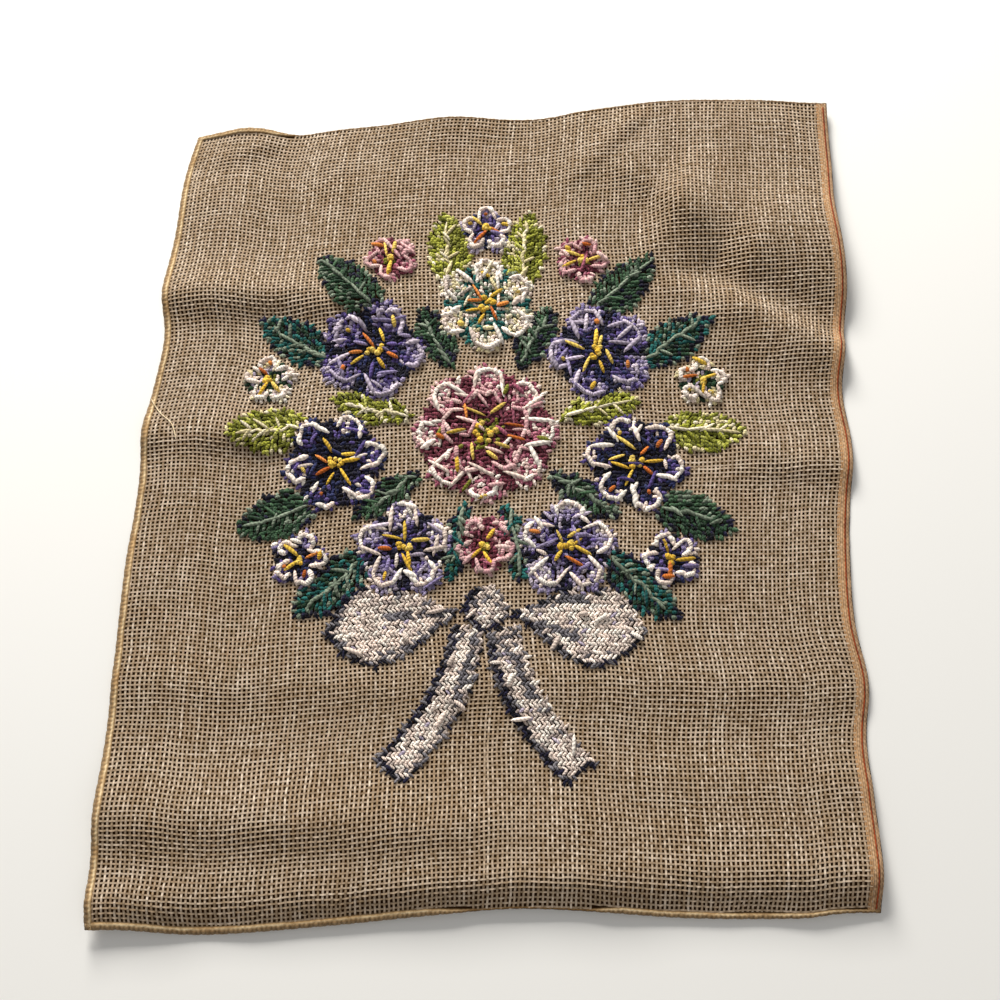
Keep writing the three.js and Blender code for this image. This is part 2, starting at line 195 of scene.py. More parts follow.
class ClothFinish(Nodes):
    """A matt cloth material, whose colour and relief are still to be made."""

    def __init__(self, name, roughness, sheen):
        self.material = bpy.data.materials.new(name)
        self.material.use_nodes = True
        super().__init__(self.material.node_tree)
        self.shader = self.tree.nodes["Principled BSDF"]
        for socket, value in (("Roughness", roughness), ("Sheen Weight", sheen),
                              ("Sheen Roughness", 0.5), ("Specular IOR Level", 0.08)):
            self.shader.inputs[socket].default_value = value

    def dyed(self, color, relief=None, strength=0.0, depth=0.0):
        self.put(self.shader, "Base Color", color)
        if relief is not None:
            bump = self.add("ShaderNodeBump", Height=relief, Strength=strength, Distance=depth)
            self.put(self.shader, "Normal", bump)
        return self.material


def linear(hexadecimal):
    """A colour named as on a shade card, as the shader takes it."""
    parts = [int(hexadecimal[i:i + 2], 16) / 255 for i in (0, 2, 4)]
    return tuple(c / 12.92 if c <= 0.04045 else ((c + 0.055) / 1.055) ** 2.4 for c in parts)


CREAM_THREAD = linear("fdf0d2")
CREAM_SHADE = linear("d8bd8e")
cotton = ClothFinish("cream_cotton_thread", 0.8, 0.2)
ply = cotton.noise(1600.0, 2.0)
cream = cotton.ramp(ply, (0.35, CREAM_SHADE), (0.6, CREAM_THREAD))
thread_curve.materials.append(cotton.dyed(cream, ply, 0.4, 0.0002))
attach(loose_thread, "root")
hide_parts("loose_thread")


# The canvas is cut from a roll of penelope canvas, ten meshes to the inch: pairs of warp threads
# up the panel and pairs of weft threads across it. It lies in the folds that it was stored in.
MESHES_ACROSS = 170
MESHES_UP = 203
EDGE_INSET = 0.004
FOLD_SOFTNESS = 1.5
STANDS_PROUD = 0.006

edge_mesh = bmesh.new()
edge_mesh.from_mesh(nodes["canvas"].data)
bmesh.ops.remove_doubles(edge_mesh, verts=edge_mesh.verts, dist=1e-6)
walls = [f for f in edge_mesh.faces if f.normal.z < 0.2]
bmesh.ops.delete(edge_mesh, geom=walls, context="FACES")
following = {
    e.link_loops[0].vert: e.link_loops[0].link_loop_next.vert
    for e in edge_mesh.edges
    if e.is_boundary
}
rim = [min(following, key=lambda v: v.co.x + v.co.y)]
while following[rim[-1]] is not rim[0]:
    rim.append(following[rim[-1]])
rim = np.array([(v.co.x, v.co.y) for v in rim])
edge_mesh.free()

south_east = int(np.argmax(rim[:, 0] - rim[:, 1]))
north_east = int(np.argmax(rim[:, 0] + rim[:, 1]))
north_west = int(np.argmax(rim[:, 1] - rim[:, 0]))
bottom_edge = rim[:south_east + 1]
right_edge = rim[south_east:north_east + 1]
top_edge = rim[north_east:north_west + 1][::-1]
left_edge = np.vstack((rim[north_west:], rim[:1]))[::-1]


def along(edge, share):
    """Places at shares of an edge's length, on one smooth curve through its points."""
    steps = np.hypot(*np.diff(edge, axis=0).T)
    at = np.concatenate(([0.0], np.cumsum(steps))) / steps.sum()
    slope = np.gradient(edge, at, axis=0)
    i = np.clip(np.searchsorted(at, share, side="right") - 1, 0, len(edge) - 2)
    gap = (at[i + 1] - at[i])[..., None]
    t = ((share - at[i]) / (at[i + 1] - at[i]))[..., None]
    start = (1 + 2 * t) * (1 - t) ** 2 * edge[i] + t * (1 - t) ** 2 * gap * slope[i]
    end = t * t * (3 - 2 * t) * edge[i + 1] - t * t * (1 - t) * gap * slope[i + 1]
    return start + end


def panel_place(across, up):
    """A place in the panel from its shares of the width and the height."""
    u, v = across[..., None], up[..., None]
    sides = (1 - v) * along(bottom_edge, across) + v * along(top_edge, across)
    sides += (1 - u) * along(left_edge, up) + u * along(right_edge, up)
    corners = (1 - u) * ((1 - v) * bottom_edge[0] + v * top_edge[0])
    corners += u * ((1 - v) * bottom_edge[-1] + v * top_edge[-1])
    return sides - corners


shares_across, shares_up = np.meshgrid(
    np.linspace(0, 1, MESHES_ACROSS + 1), np.linspace(0, 1, MESHES_UP + 1)
)
lie = panel_place(shares_across, shares_up)


def underside(x, y):
    under = Vector((x * (1 - EDGE_INSET), y * (1 - EDGE_INSET), -CAST_FROM))
    hit = canvas_tree.ray_cast(under, Vector((0.0, 0.0, 1.0)))[0]
    return hit.z if hit else 0.0


lift = np.array([[underside(x, y) for x, y in row] for row in lie])


def soften(heights, width, ways=(0, 1)):
    """Rounds off a grid of heights, as cloth rounds off a fold."""
    reach = int(3 * width)
    bell = np.exp(-0.5 * (np.arange(-reach, reach + 1) / width) ** 2)
    bell /= bell.sum()
    for way in ways:
        margins = [(reach, reach) if axis == way else (0, 0) for axis in range(heights.ndim)]
        padded = np.pad(heights, margins, mode="edge")
        heights = np.apply_along_axis(np.convolve, way, padded, bell, "valid")
    return heights


lift = soften(lift, FOLD_SOFTNESS)

# Creases drawn from left to right: how high each rises, how far it runs out on its far side (to
# the left of the line) and on its near side, and the places that it runs through.
CREASES = (
    (0.0030, 0.030, 0.0105, ((-0.234, 0.119), (-0.131, 0.119), (-0.030, 0.113))),
    (0.0023, 0.026, 0.0080, ((-0.238, 0.025), (-0.157, 0.024), (-0.085, 0.018))),
    (0.0024, 0.010, 0.0100, ((0.105, 0.090), (0.167, 0.085), (0.232, 0.071))),
    (0.0022, 0.024, 0.0090, ((0.130, 0.011), (0.186, 0.005), (0.230, -0.002))),
    (0.0016, 0.030, 0.0120, ((-0.240, -0.131), (0.000, -0.134), (0.232, -0.134))),
    (0.0050, 0.030, 0.0200, ((-0.240, -0.199), (-0.141, -0.202), (0.010, -0.212))),
    (0.0026, 0.030, 0.0170, ((-0.020, -0.210), (0.110, -0.214), (0.230, -0.212))),
    (0.0050, 0.024, 0.0130, ((-0.235, -0.245), (-0.140, -0.236), (-0.060, -0.231), (0.110, -0.231),
                             (0.235, -0.234))),
    (0.0016, 0.012, 0.0060, ((0.003, 0.182), (0.008, 0.238))),
    (0.0016, 0.010, 0.0030, ((0.040, 0.199), (0.072, 0.229), (0.104, 0.262))),
    (0.0030, 0.014, 0.0060, ((0.072, 0.226), (0.108, 0.194), (0.140, 0.164))),
    (0.0110, 0.026, 0.0260, ((0.100, 0.188), (0.142, 0.170), (0.240, 0.166))),
    (0.0070, 0.030, 0.0200, ((0.146, 0.154), (0.190, 0.130), (0.240, 0.118))),
    (-0.0045, 0.016, 0.0070, ((0.112, 0.140), (0.154, 0.128), (0.180, 0.110), (0.232, 0.086))),
    (0.0010, 0.006, 0.0040, ((-0.186, 0.225), (-0.146, 0.239))),
    (0.0038, 0.0075, 0.0150, ((0.085, 0.121), (0.136, 0.125), (0.170, 0.106), (0.232, 0.072))),
)
CREASE_FADE = 5
RUNS_OFF_WITHIN = 0.04
RIPPLE_SOFTNESS = 5.0
RIPPLE_RISE = 0.0002
THREAD_HOLLOW = 0.009


def line_distance(places, line):
    """How far each place is from a line of straight runs, on which side (+1 to its left), and
    its share of the way along it."""
    line = np.array(line)
    best = np.full(places.shape[:-1], np.inf)
    share = np.zeros_like(best)
    side = np.ones_like(best)
    for number, (a, b) in enumerate(zip(line[:-1], line[1:])):
        run = b - a
        t = np.clip(((places - a) @ run) / (run @ run), 0, 1)
        away = np.linalg.norm(places - a - t[..., None] * run, axis=-1)
        turned = run[0] * (places[..., 1] - a[1]) - run[1] * (places[..., 0] - a[0])
        nearer = away < best
        share = np.where(nearer, (number + t) / (len(line) - 1), share)
        side = np.where(nearer, np.sign(turned), side)
        best = np.minimum(best, away)
    return best, side, share


plain_lift = lift.copy()
for rise, far, near, line in CREASES:
    away, side, share = line_distance(lie, line)
    open_left = line[0][0] < lie[..., 0].min() + RUNS_OFF_WITHIN
    open_right = line[-1][0] > lie[..., 0].max() - RUNS_OFF_WITHIN
    ends = (1 if open_left else share, 1 if open_right else 1 - share)
    fade = np.clip(np.minimum(*ends) * CREASE_FADE, 0, 1)
    reach = np.where(side > 0, far, near)
    lift += rise * fade * np.exp(-0.5 * (away / reach) ** 2)
rng = np.random.default_rng(11)
ripple = soften(rng.normal(size=lift.shape), RIPPLE_SOFTNESS)
lift += RIPPLE_RISE * ripple / ripple.std()
# The cloth keeps its plain height under the loose thread, which lies on it.
under_thread = np.exp(-0.5 * (line_distance(lie, THREAD_ROUTE)[0] / THREAD_HOLLOW) ** 2)
lift = under_thread * plain_lift + (1 - under_thread) * lift
lift = np.clip(lift, 0.0, cad_high.z + STANDS_PROUD)

ground = np.dstack((lie, lift))
upward = np.cross(np.gradient(ground, axis=1), np.gradient(ground, axis=0))
upward /= np.linalg.norm(upward, axis=-1, keepdims=True)


def on_cloth(column, row, height):
    """Places over the underside, from places in meshes from the lower left corner."""
    column = np.clip(column, 0, MESHES_ACROSS - 1e-6)
    row = np.clip(row, 0, MESHES_UP - 1e-6)
    i, j = column.astype(int), row.astype(int)
    s, t = (column - i)[..., None], (row - j)[..., None]

    def between(grid):
        near = (1 - s) * grid[j, i] + s * grid[j, i + 1]
        far = (1 - s) * grid[j + 1, i] + s * grid[j + 1, i + 1]
        return (1 - t) * near + t * far

    height = np.broadcast_to(height, column.shape)
    return between(ground) + between(upward) * height[..., None]


MAP_MARGIN = 1.06


def flat_map(mesh):
    """Gives a mesh a map that looks straight down on it, as wide as the panel."""
    layer = mesh.uv_layers.new(name="OFBake")
    points = np.empty(len(mesh.vertices) * 3, np.float32)
    mesh.vertices.foreach_get("co", points)
    corners = np.empty(len(mesh.loops), np.int32)
    mesh.loops.foreach_get("vertex_index", corners)
    span = max(cad_high - cad_low)
    spots = points.reshape(-1, 3)[corners, :2] / (span * MAP_MARGIN) + 0.5
    layer.data.foreach_set("uv", spots.astype(np.float32).ravel())


def finish_piece(thing, slot, *stood_for):
    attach(thing, "root")
    if stood_for:
        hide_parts(*stood_for)
    return thing


def carry(mesh, name, kind, values):
    """Stores a value at each point of a mesh, for its tree or its finish to read."""
    mark = mesh.attributes.new(name, kind, "POINT")
    if kind == "FLOAT_COLOR":
        values = np.c_[values, np.ones(len(values))]
    part = {"FLOAT_VECTOR": "vector", "FLOAT_COLOR": "color"}.get(kind, "value")
    number = np.int32 if kind == "INT" else np.float32
    mark.data.foreach_set(part, values.astype(number).ravel())


def piece_from(name, points, faces, *materials):
    mesh = bpy.data.meshes.new(name)
    mesh.from_pydata([tuple(p) for p in points], [], faces)
    mesh.validate()
    for material in materials:
        mesh.materials.append(material)
    mesh.shade_smooth()
    return into_scene(name, mesh)


def closed_strip(top, bottom):
    """Points and faces of a closed body between two grids of places, the top faces first."""
    rows, columns = top.shape[:2]
    points = np.vstack((top.reshape(-1, 3), bottom.reshape(-1, 3)))
    number = np.arange(rows * columns).reshape(rows, columns)
    under = rows * columns
    corners = (number[:-1, :-1], number[:-1, 1:], number[1:, 1:], number[1:, :-1])
    over = np.dstack(corners).reshape(-1, 4).tolist()
    below = [[under + k for k in reversed(square)] for square in over]
    sides = (number[0, :-1], number[:-1, -1], number[-1, :0:-1], number[:0:-1, 0])
    loop = np.concatenate(sides).tolist()
    ring = [(b, a, under + a, under + b) for a, b in zip(loop, loop[1:] + loop[:1])]
    return points, over + below + ring


# Under the threads lies the painted shade of the mesh holes: a thin dark layer as wide as the
# canvas, with the same weave on the side that lies on the table, its holes painted shade as well.
SHADE_THICKNESS = 0.00035
SHADE_STEP = 2
HOLE_SHADE = linear("3c2208")
HOLE_SHADE_DEEP = linear("261303")
BACK_THREAD = linear("b4966a")
BACK_THREAD_AGED = linear("8f7148")
BACK_HOLE_SHADE = linear("33220f")
BACK_HOLE_ACROSS = 0.48
BACK_HOLE_UP = 0.54

columns = np.append(np.arange(0, MESHES_ACROSS, SHADE_STEP), MESHES_ACROSS).astype(float)
rows = np.append(np.arange(0, MESHES_UP, SHADE_STEP), MESHES_UP).astype(float)
grid_columns, grid_rows = np.meshgrid(columns, rows)
points, faces = closed_strip(
    on_cloth(grid_columns, grid_rows, SHADE_THICKNESS),
    on_cloth(grid_columns, grid_rows, 0.0),
)

holes = ClothFinish("shade_of_the_mesh_holes", 0.95, 0.0)
# The painted shade of the holes, a little uneven.
mottled_hole_shade = holes.ramp(holes.noise(60.0, 3.0), (0.35, HOLE_SHADE_DEEP), (0.65, HOLE_SHADE))
hole_finish = holes.dyed(mottled_hole_shade)

back = ClothFinish("canvas_back", 0.9, 0.1)
parts = back.add("ShaderNodeSeparateXYZ", Vector=back.attribute("meshes", "Vector"))
in_hole = []
for part, half in (("X", BACK_HOLE_ACROSS / 2), ("Y", BACK_HOLE_UP / 2)):
    place = back.math("FRACT", parts.outputs[part])
    off = back.math("ABSOLUTE", back.math("SUBTRACT", place, 0.5))
    in_hole.append(back.math("GREATER_THAN", off, 0.5 - half))
hole = back.math("MULTIPLY", *in_hole)
thread_tone = back.ramp(back.noise(45.0, 3.0), (0.3, BACK_THREAD_AGED), (0.7, BACK_THREAD))
# The back's threads in the canvas's own colours, its holes in painted shade.
back_tone = back.mix(hole, thread_tone, (*BACK_HOLE_SHADE, 1.0))
back_finish = back.dyed(back_tone, back.math("SUBTRACT", 1.0, hole), 0.6, 0.0004)

# Its top carries the painted shade of the holes; its faces below and round its rim are the canvas's
# back.
shade = piece_from("hole_shade_and_canvas_back", points, faces, hole_finish, back_finish)
squares = (len(columns) - 1) * (len(rows) - 1)
for polygon in shade.data.polygons[squares:]:
    polygon.material_index = 1
spots = np.dstack((grid_columns, grid_rows, np.zeros_like(grid_rows))).reshape(-1, 3)
carry(shade.data, "meshes", "FLOAT_VECTOR", np.vstack((spots, spots)))
finish_piece(shade, "canvas_cotton", "canvas")


# The wool covers some meshes of the canvas. Every crossing of the canvas is looked up on the
# blocked-out motifs, so each stitch belongs to the motif that it is worked in.
MOTIFS = sorted(name for name in nodes if name not in ("canvas", "loose_thread"))
motif_tree, face_motif = tree_of(*MOTIFS)
cross_columns, cross_rows = np.meshgrid(
    np.arange(MESHES_ACROSS) + 0.5, np.arange(MESHES_UP) + 0.5
)
crossings = on_cloth(cross_columns, cross_rows, 0.0)


def motif_at(x, y):
    face = motif_tree.ray_cast(Vector((x, y, CAST_FROM)), Vector((0.0, 0.0, -1.0)))[2]
    return -1 if face is None else face_motif[face]


worked = np.array([[motif_at(x, y) for x, y, _ in row] for row in crossings])


def shrunk(mask, times=1):
    """A mask without its outermost crossings."""
    for _ in range(times):
        ringed = np.pad(mask, 1)
        mask = mask & ringed[:-2, 1:-1] & ringed[2:, 1:-1] & ringed[1:-1, :-2] & ringed[1:-1, 2:]
    return mask


# Each pair of warp threads goes over one pair of weft threads and under the next. The pairs show
# as one flat band with a painted shade groove down its middle, thicker up the panel than across it.
BAND_HEIGHT = 0.00085
BAND_SWING = 0.00018
BAND_THICKNESS = 0.00042
BAND_TOP_SHARE = 0.72
WARP_WIDTH = 0.00120
WEFT_WIDTH = 0.00103
UNDER_WOOL = 1
UNDER_HEM = 0.6
UNDER_SELVAGE = 0.8
SELVAGE_MESHES = 3.0
THREAD_PALE_AND_HIGHLIGHT = linear("f9e8d4")
THREAD_TAN = linear("c3ab91")
THREAD_DULL = linear("b59c80")
THREAD_AGED = linear("8f785a")
GROOVE_AND_FLANK_SHADE = linear("4a2a04")

# How wide each hem shows, from place to place along its edge, both in meshes. Where it is narrow
# it is tucked away under the canvas.
HEM_SHOWS = {
    "left": ((0, 2.0), (203, 2.0)),
    "bottom": ((0, 2.1), (72, 2.0), (84, 0.6), (106, 0.6), (114, 1.7), (150, 1.5), (168, 0.9)),
    "top": ((0, 1.8), (20, 1.7), (27, 0.6), (170, 0.6)),
}


def hem_width(side, place):
    return np.interp(place, *zip(*HEM_SHOWS[side]))


def shaping_tree(name, sizes):
    """A Geometry Nodes tree with named inputs for its sizes, and its start."""
    tree = bpy.data.node_groups.new(name, "GeometryNodeTree")
    face = tree.interface
    face.new_socket("Geometry", in_out="INPUT", socket_type="NodeSocketGeometry")
    for label, value in sizes.items():
        kind = "NodeSocketInt" if isinstance(value, int) else "NodeSocketFloat"
        face.new_socket(label, in_out="INPUT", socket_type=kind).default_value = value
    face.new_socket("Geometry", in_out="OUTPUT", socket_type="NodeSocketGeometry")
    work = Nodes(tree)
    return work, work.add("NodeGroupInput").outputs


def close_tree(work, geometry, material, smooth=False):
    """Ends a tree with real geometry in one material."""
    real = work.add("GeometryNodeRealizeInstances", Geometry=geometry)
    if smooth:
        real = work.add("GeometryNodeSetShadeSmooth", Geometry=real)
    dressed = work.add("GeometryNodeSetMaterial", Geometry=real, Material=material)
    work.add("NodeGroupOutput", Geometry=dressed)
    return work.tree


def band_tree(name, width, material):
    """A tree that turns lines of edges into flat bands of two threads side by side."""
    work, sizes = shaping_tree(name, {"Width": width, "Thickness": BAND_THICKNESS})
    lines = work.add("GeometryNodeMeshToCurve", Mesh=sizes["Geometry"])
    upright = work.add("GeometryNodeSetCurveNormal", {"mode": "Z_UP"}, Curve=lines)
    # The band's section: a wide foot, and a narrower top that carries the painted groove shade.
    section = work.add(
        "GeometryNodeCurvePrimitiveQuadrilateral", {"mode": "TRAPEZOID"}, Offset=0.0,
        Bottom_Width=sizes["Width"], Height=sizes["Thickness"],
        Top_Width=work.math("MULTIPLY", sizes["Width"], BAND_TOP_SHARE),
    )
    apart = work.add("ShaderNodeSeparateXYZ", Vector=work.add("GeometryNodeInputPosition"))
    half = work.math("MULTIPLY", sizes["Width"], 0.5)
    marked = work.add(
        "GeometryNodeStoreNamedAttribute", {"data_type": "FLOAT", "domain": "POINT"},
        Geometry=section, Name="across", Value=work.math("DIVIDE", apart.outputs["X"], half),
    )
    body = work.add("GeometryNodeCurveToMesh", Curve=upright, Profile_Curve=marked, Fill_Caps=True)
    return close_tree(work, body, material)


def set_by_tree(thing, tree, **sizes):
    """Runs a tree on an object and leaves the result as its plain mesh."""
    modifier = thing.modifiers.new(tree.name, "NODES")
    modifier.node_group = tree
    for socket in tree.interface.items_tree:
        if socket.in_out == "INPUT" and socket.name in sizes:
            modifier[socket.identifier] = sizes[socket.name]
    graph = bpy.context.evaluated_depsgraph_get()
    made = bpy.data.meshes.new_from_object(
        thing.evaluated_get(graph), preserve_all_data_layers=True, depsgraph=graph
    )
    thing.modifiers.clear()
    thing.data = made
    made.name = thing.name
    return thing


band = ClothFinish("cotton_canvas_thread", 0.9, 0.03)
slub = band.noise(330.0, 2.0)
aged = band.ramp(band.noise(9.0, 3.0), (0.38, THREAD_DULL), (0.62, THREAD_TAN))
# Paler threads and streaks, and the painted highlight on the crests, come from the strand value.
cloud = band.mix(band.attribute("strand", "Fac"), aged, (*THREAD_PALE_AND_HIGHLIGHT, 1.0))
worn = band.math("MULTIPLY", band.math("SUBTRACT", slub, 0.36), 2.2)
worn = band.math("MINIMUM", band.math("MAXIMUM", worn, 0.0), 0.75)
cloud = band.mix(worn, cloud, (*THREAD_AGED, 1.0))
# Painted shade in the groove down each band's middle and on its flanks.
beside = band.math("ABSOLUTE", band.attribute("across", "Fac"))
crest = band.math("SMOOTH_MIN", band.math("MULTIPLY", beside, 5.0), 1.0, 0.4)
flank = band.math("GREATER_THAN", beside, 0.80)
dark = band.math("MAXIMUM", band.math("SUBTRACT", 1.0, crest), flank)
cloud = band.mix(band.math("MULTIPLY", dark, 0.6), cloud, (*GROOVE_AND_FLANK_SHADE, 1.0))
band_finish = band.dyed(cloud, slub, 0.5, 0.0003)

hidden = shrunk(worked >= 0, UNDER_WOOL)
rng = np.random.default_rng(5)
THREAD_WANDER = 0.035
THREAD_DRIFT = 0.10
DRIFT_SOFTNESS = 3.0
PALE_WARP = 0.50
PALE_WEFT = 0.28
STREAK_SOFTNESS = 2.2
STREAK_TONE = 0.15
CREST_HIGHLIGHT = 0.20
LEAST_TONE = 0.04


def bands(name, upward_way, low, high, width):
    """The bands that run one way, between two lines of meshes that cross them."""
    over = np.where((np.arange(MESHES_ACROSS)[None, :] + np.arange(MESHES_UP)[:, None]) % 2, 1, -1)
    over = over if upward_way else -over
    sideways = rng.normal(scale=THREAD_WANDER, size=over.shape)
    drift = soften(rng.normal(size=over.shape), DRIFT_SOFTNESS)
    sideways += THREAD_DRIFT * drift / drift.std()
    places = on_cloth(
        cross_columns + (sideways if upward_way else 0.0),
        cross_rows + (0.0 if upward_way else sideways),
        BAND_HEIGHT + BAND_SWING * over,
    )
    number = np.arange(over.size).reshape(over.shape)
    shown = ~hidden & (cross_columns > UNDER_HEM * hem_width("left", cross_rows))
    shown &= cross_columns < MESHES_ACROSS - UNDER_SELVAGE * SELVAGE_MESHES
    shown &= cross_rows > UNDER_HEM * hem_width("bottom", cross_columns)
    shown &= cross_rows < MESHES_UP - UNDER_HEM * hem_width("top", cross_columns)
    if upward_way:
        pairs = np.dstack((number[:-1], number[1:]))
        keep = shown[:-1] & shown[1:]
        keep[:, :low] = keep[:, high:] = False
    else:
        pairs = np.dstack((number[:, :-1], number[:, 1:]))
        keep = shown[:, :-1] & shown[:, 1:]
        keep[:low] = keep[high:] = False
    used, edges = np.unique(pairs[keep], return_inverse=True)
    mesh = bpy.data.meshes.new(name)
    mesh.from_pydata(places.reshape(-1, 3)[used].tolist(), edges.reshape(-1, 2).tolist(), [])
    # Some threads are paler than their neighbours, more of them up the panel than across it.
    count = MESHES_ACROSS if upward_way else MESHES_UP
    tones = rng.random(count) ** 2 * (PALE_WARP if upward_way else PALE_WEFT)
    tones = np.broadcast_to(tones if upward_way else tones[:, None], over.shape)
    way = (0,) if upward_way else (1,)
    streaks = soften(rng.normal(size=over.shape), STREAK_SOFTNESS, way)
    # The pairs are also painted paler where they pass over, a painted highlight on their crests.
    tones = tones + STREAK_TONE * streaks / streaks.std() + CREST_HIGHLIGHT * (over > 0)
    tones = np.clip(tones + LEAST_TONE, 0, 1)
    carry(mesh, "strand", "FLOAT", tones.reshape(-1)[used])
    thing = into_scene(name, mesh)
    set_by_tree(thing, band_tree(name, width, band_finish), Width=width)
    thing.data.shade_flat()
    flat_map(thing.data)
    return finish_piece(thing, "canvas_cotton")


half_across, half_up = MESHES_ACROSS // 2, MESHES_UP // 2
canvas_bands = [
    bands("warp_left", True, 0, half_across, WARP_WIDTH),
    bands("warp_right", True, half_across, MESHES_ACROSS, WARP_WIDTH),
    bands("weft_lower", False, 0, half_up, WEFT_WIDTH),
    bands("weft_upper", False, half_up, MESHES_UP, WEFT_WIDTH),
]


# The hems: the left, bottom and top edges are turned over once, so the canvas lies double there,
# with a rounded fold outside and a cut edge inside that leaves a thin dark line.
HEM_TOP = 0.0022
TUCKED_TOP = 0.0014
HEM_FOOT = 0.0005
STRIP_FOOT_SHARE = 0.6
HEM_INSET = 0.3
HEM_STEPS_PER_MESH = 4
HEM_STEPS_ACROSS = 9
HEM_WAVES = 6
HEM_WAVE_RATES = (0.02, 0.14)
HEM_WAVER = 0.16
PATCH_SOFTNESS = 1.2
HEM_GREY = np.array(linear("a08868"))
HEM_TAN = np.array(linear("c49a66"))
HEM_CREST_HIGHLIGHT = np.array(linear("f8e2b8"))
HEM_SHADE = np.array(linear("3a2714"))
# One turn, to the two decimals that the waves of the hems and the knots are made with.
ROUGH_TURN = 6.28


def blend(share, low, high):
    """Colours between two, for an array of shares."""
    share = np.clip(share, 0, 1)[..., None]
    return (1 - share) * low + share * high


def edge_finish(name):
    """Dense cotton weave in the colours that its strip carries."""
    finish = ClothFinish(name, 0.85, 0.1)
    slub = finish.noise(500.0, 3.0)
    fleck = finish.ramp(slub, (0.32, (0.62, 0.58, 0.54)), (0.62, (1.0, 1.0, 1.0)))
    woven = finish.mix(1.0, finish.attribute("weave_tone", "Color"), fleck, "MULTIPLY")
    return finish.dyed(woven, slub, 0.6, 0.0003)


def edge_strip(name, side, inset, profile, steps_across, material):
    """A strip of dense weave along an edge. profile gives, for each place along the edge and
    share across the strip, how far inward it is in meshes, its height and its colour."""
    count = MESHES_ACROSS if side in ("bottom", "top") else MESHES_UP
    length = np.linspace(inset, count - inset, int((count - 2 * inset) * HEM_STEPS_PER_MESH) + 1)
    step, part = np.meshgrid(length, np.linspace(0, 1, steps_across), indexing="ij")
    inward, height, colors = profile(step, part)
    # The foot has only the strip's two edges, a little in from the top's.
    inward = np.hstack((inward, inward[:, [-1, 0]]))
    height = np.hstack((height, np.full((len(length), 2), SHADE_THICKNESS * STRIP_FOOT_SHARE)))
    step = np.hstack((step, step[:, :2]))
    colors = np.concatenate((colors, colors[:, [-1, 0]]), axis=1)
    place = {
        "left": (inward, step),
        "right": (MESHES_ACROSS - inward, step),
        "bottom": (step, inward),
        "top": (step, MESHES_UP - inward),
    }[side]
    points = on_cloth(*place, height).reshape(-1, 3)
    around = steps_across + 2
    rounds = len(length)
    faces = [
        (r * around + k, r * around + (k + 1) % around,
         (r + 1) * around + (k + 1) % around, (r + 1) * around + k)
        for r in range(rounds - 1) for k in range(around)
    ]
    faces += [tuple(range(around)), tuple((rounds - 1) * around + k for k in range(around))]
    thing = piece_from(name, points, faces, material)
    carry(thing.data, "weave_tone", "FLOAT_COLOR", colors.reshape(-1, 3))
    made = bmesh.new()
    made.from_mesh(thing.data)
    bmesh.ops.recalc_face_normals(made, faces=made.faces)
    made.to_mesh(thing.data)
    made.free()
    flat_map(thing.data)
    return finish_piece(thing, "canvas_cotton")


def hem_profile(side, seed):
    """A hem's section: greyish outside, a painted highlight on its crest, a painted dark line
    within.
    """
    draw = np.random.default_rng(seed)
    waves = [(draw.uniform(*HEM_WAVE_RATES), draw.uniform(0, ROUGH_TURN))
             for _ in range(HEM_WAVES)]
    count = MESHES_ACROSS if side in ("bottom", "top") else MESHES_UP
    patchy = soften(draw.normal(size=(1, count + 1)), PATCH_SOFTNESS)[0]
    patchy /= patchy.std()

    def profile(step, part):
        shown = hem_width(side, step)
        tucked = np.clip((1.3 - shown) / 0.6, 0, 1)
        wave = sum(np.sin(ROUGH_TURN * f * step + p) for f, p in waves)
        width = shown + HEM_WAVER * wave / len(waves)
        rib = 0.5 + 0.5 * np.cos(2 * np.pi * step)
        scallop = 0.07 * (1 - rib) + 0.06 * np.sin(2.1 * step)
        inward = part * width + scallop * (1 - part)
        dome = np.clip(np.sin(np.pi * (part * 0.86 + 0.07)), 0, 1) ** 0.45
        cross = 0.5 + 0.5 * np.cos(2 * np.pi * (part * 1.6 + 0.5 * np.floor(step + 0.5)))
        top = HEM_TOP + (TUCKED_TOP - HEM_TOP) * tucked
        height = HEM_FOOT + (top - HEM_FOOT) * dome * (0.78 + 0.14 * rib + 0.08 * cross)
        inner = np.clip((part - 0.76) / 0.10, 0, 1)
        height = height * (1 - 0.55 * inner)
        fleck = np.interp(step, np.arange(count + 1), patchy)
        colors = blend((part - 0.30) / 0.15, HEM_GREY, HEM_TAN)
        # A painted highlight along the crest, patchy, and none where the hem is tucked.
        crest = np.exp(-0.5 * ((part - 0.62) / 0.09) ** 2) * np.clip(0.85 + 0.3 * fleck, 0.3, 1)
        colors = blend(crest * (1 - tucked), colors, HEM_CREST_HIGHLIGHT)
        # Painted shade in the gaps between thread blocks, along the cut edge and where the hem is
        # tucked.
        gaps = 0.60 * (1 - rib) * (1 - 0.6 * cross) * (part < 0.62)
        colors = blend(gaps, colors, HEM_SHADE)
        colors = blend(np.maximum(0.92 * inner, 0.5 * tucked), colors, HEM_SHADE)
        return inward, height, colors

    return profile


hem_weave = edge_finish("turned_canvas_hem")
hems = [
    edge_strip("hem_" + side, side, HEM_INSET, hem_profile(side, seed), HEM_STEPS_ACROSS, hem_weave)
    for side, seed in (("left", 2), ("bottom", 3), ("top", 4))
]


# The selvage is the loom's own edge: the warp lies close there, with no holes, the weft turns back
# round its outer threads in small loops, and a rust red thread marks it.
SELVAGE_TOP = 0.0015
SELVAGE_INSET = 0.4
SELVAGE_STEPS_ACROSS = 15
SELVAGE_WARPS = 7
SELVAGE_GOLD = np.array(linear("e0b080"))
SELVAGE_TAN = np.array(linear("dab48e"))
SELVAGE_PALE = np.array(linear("eccaa4"))


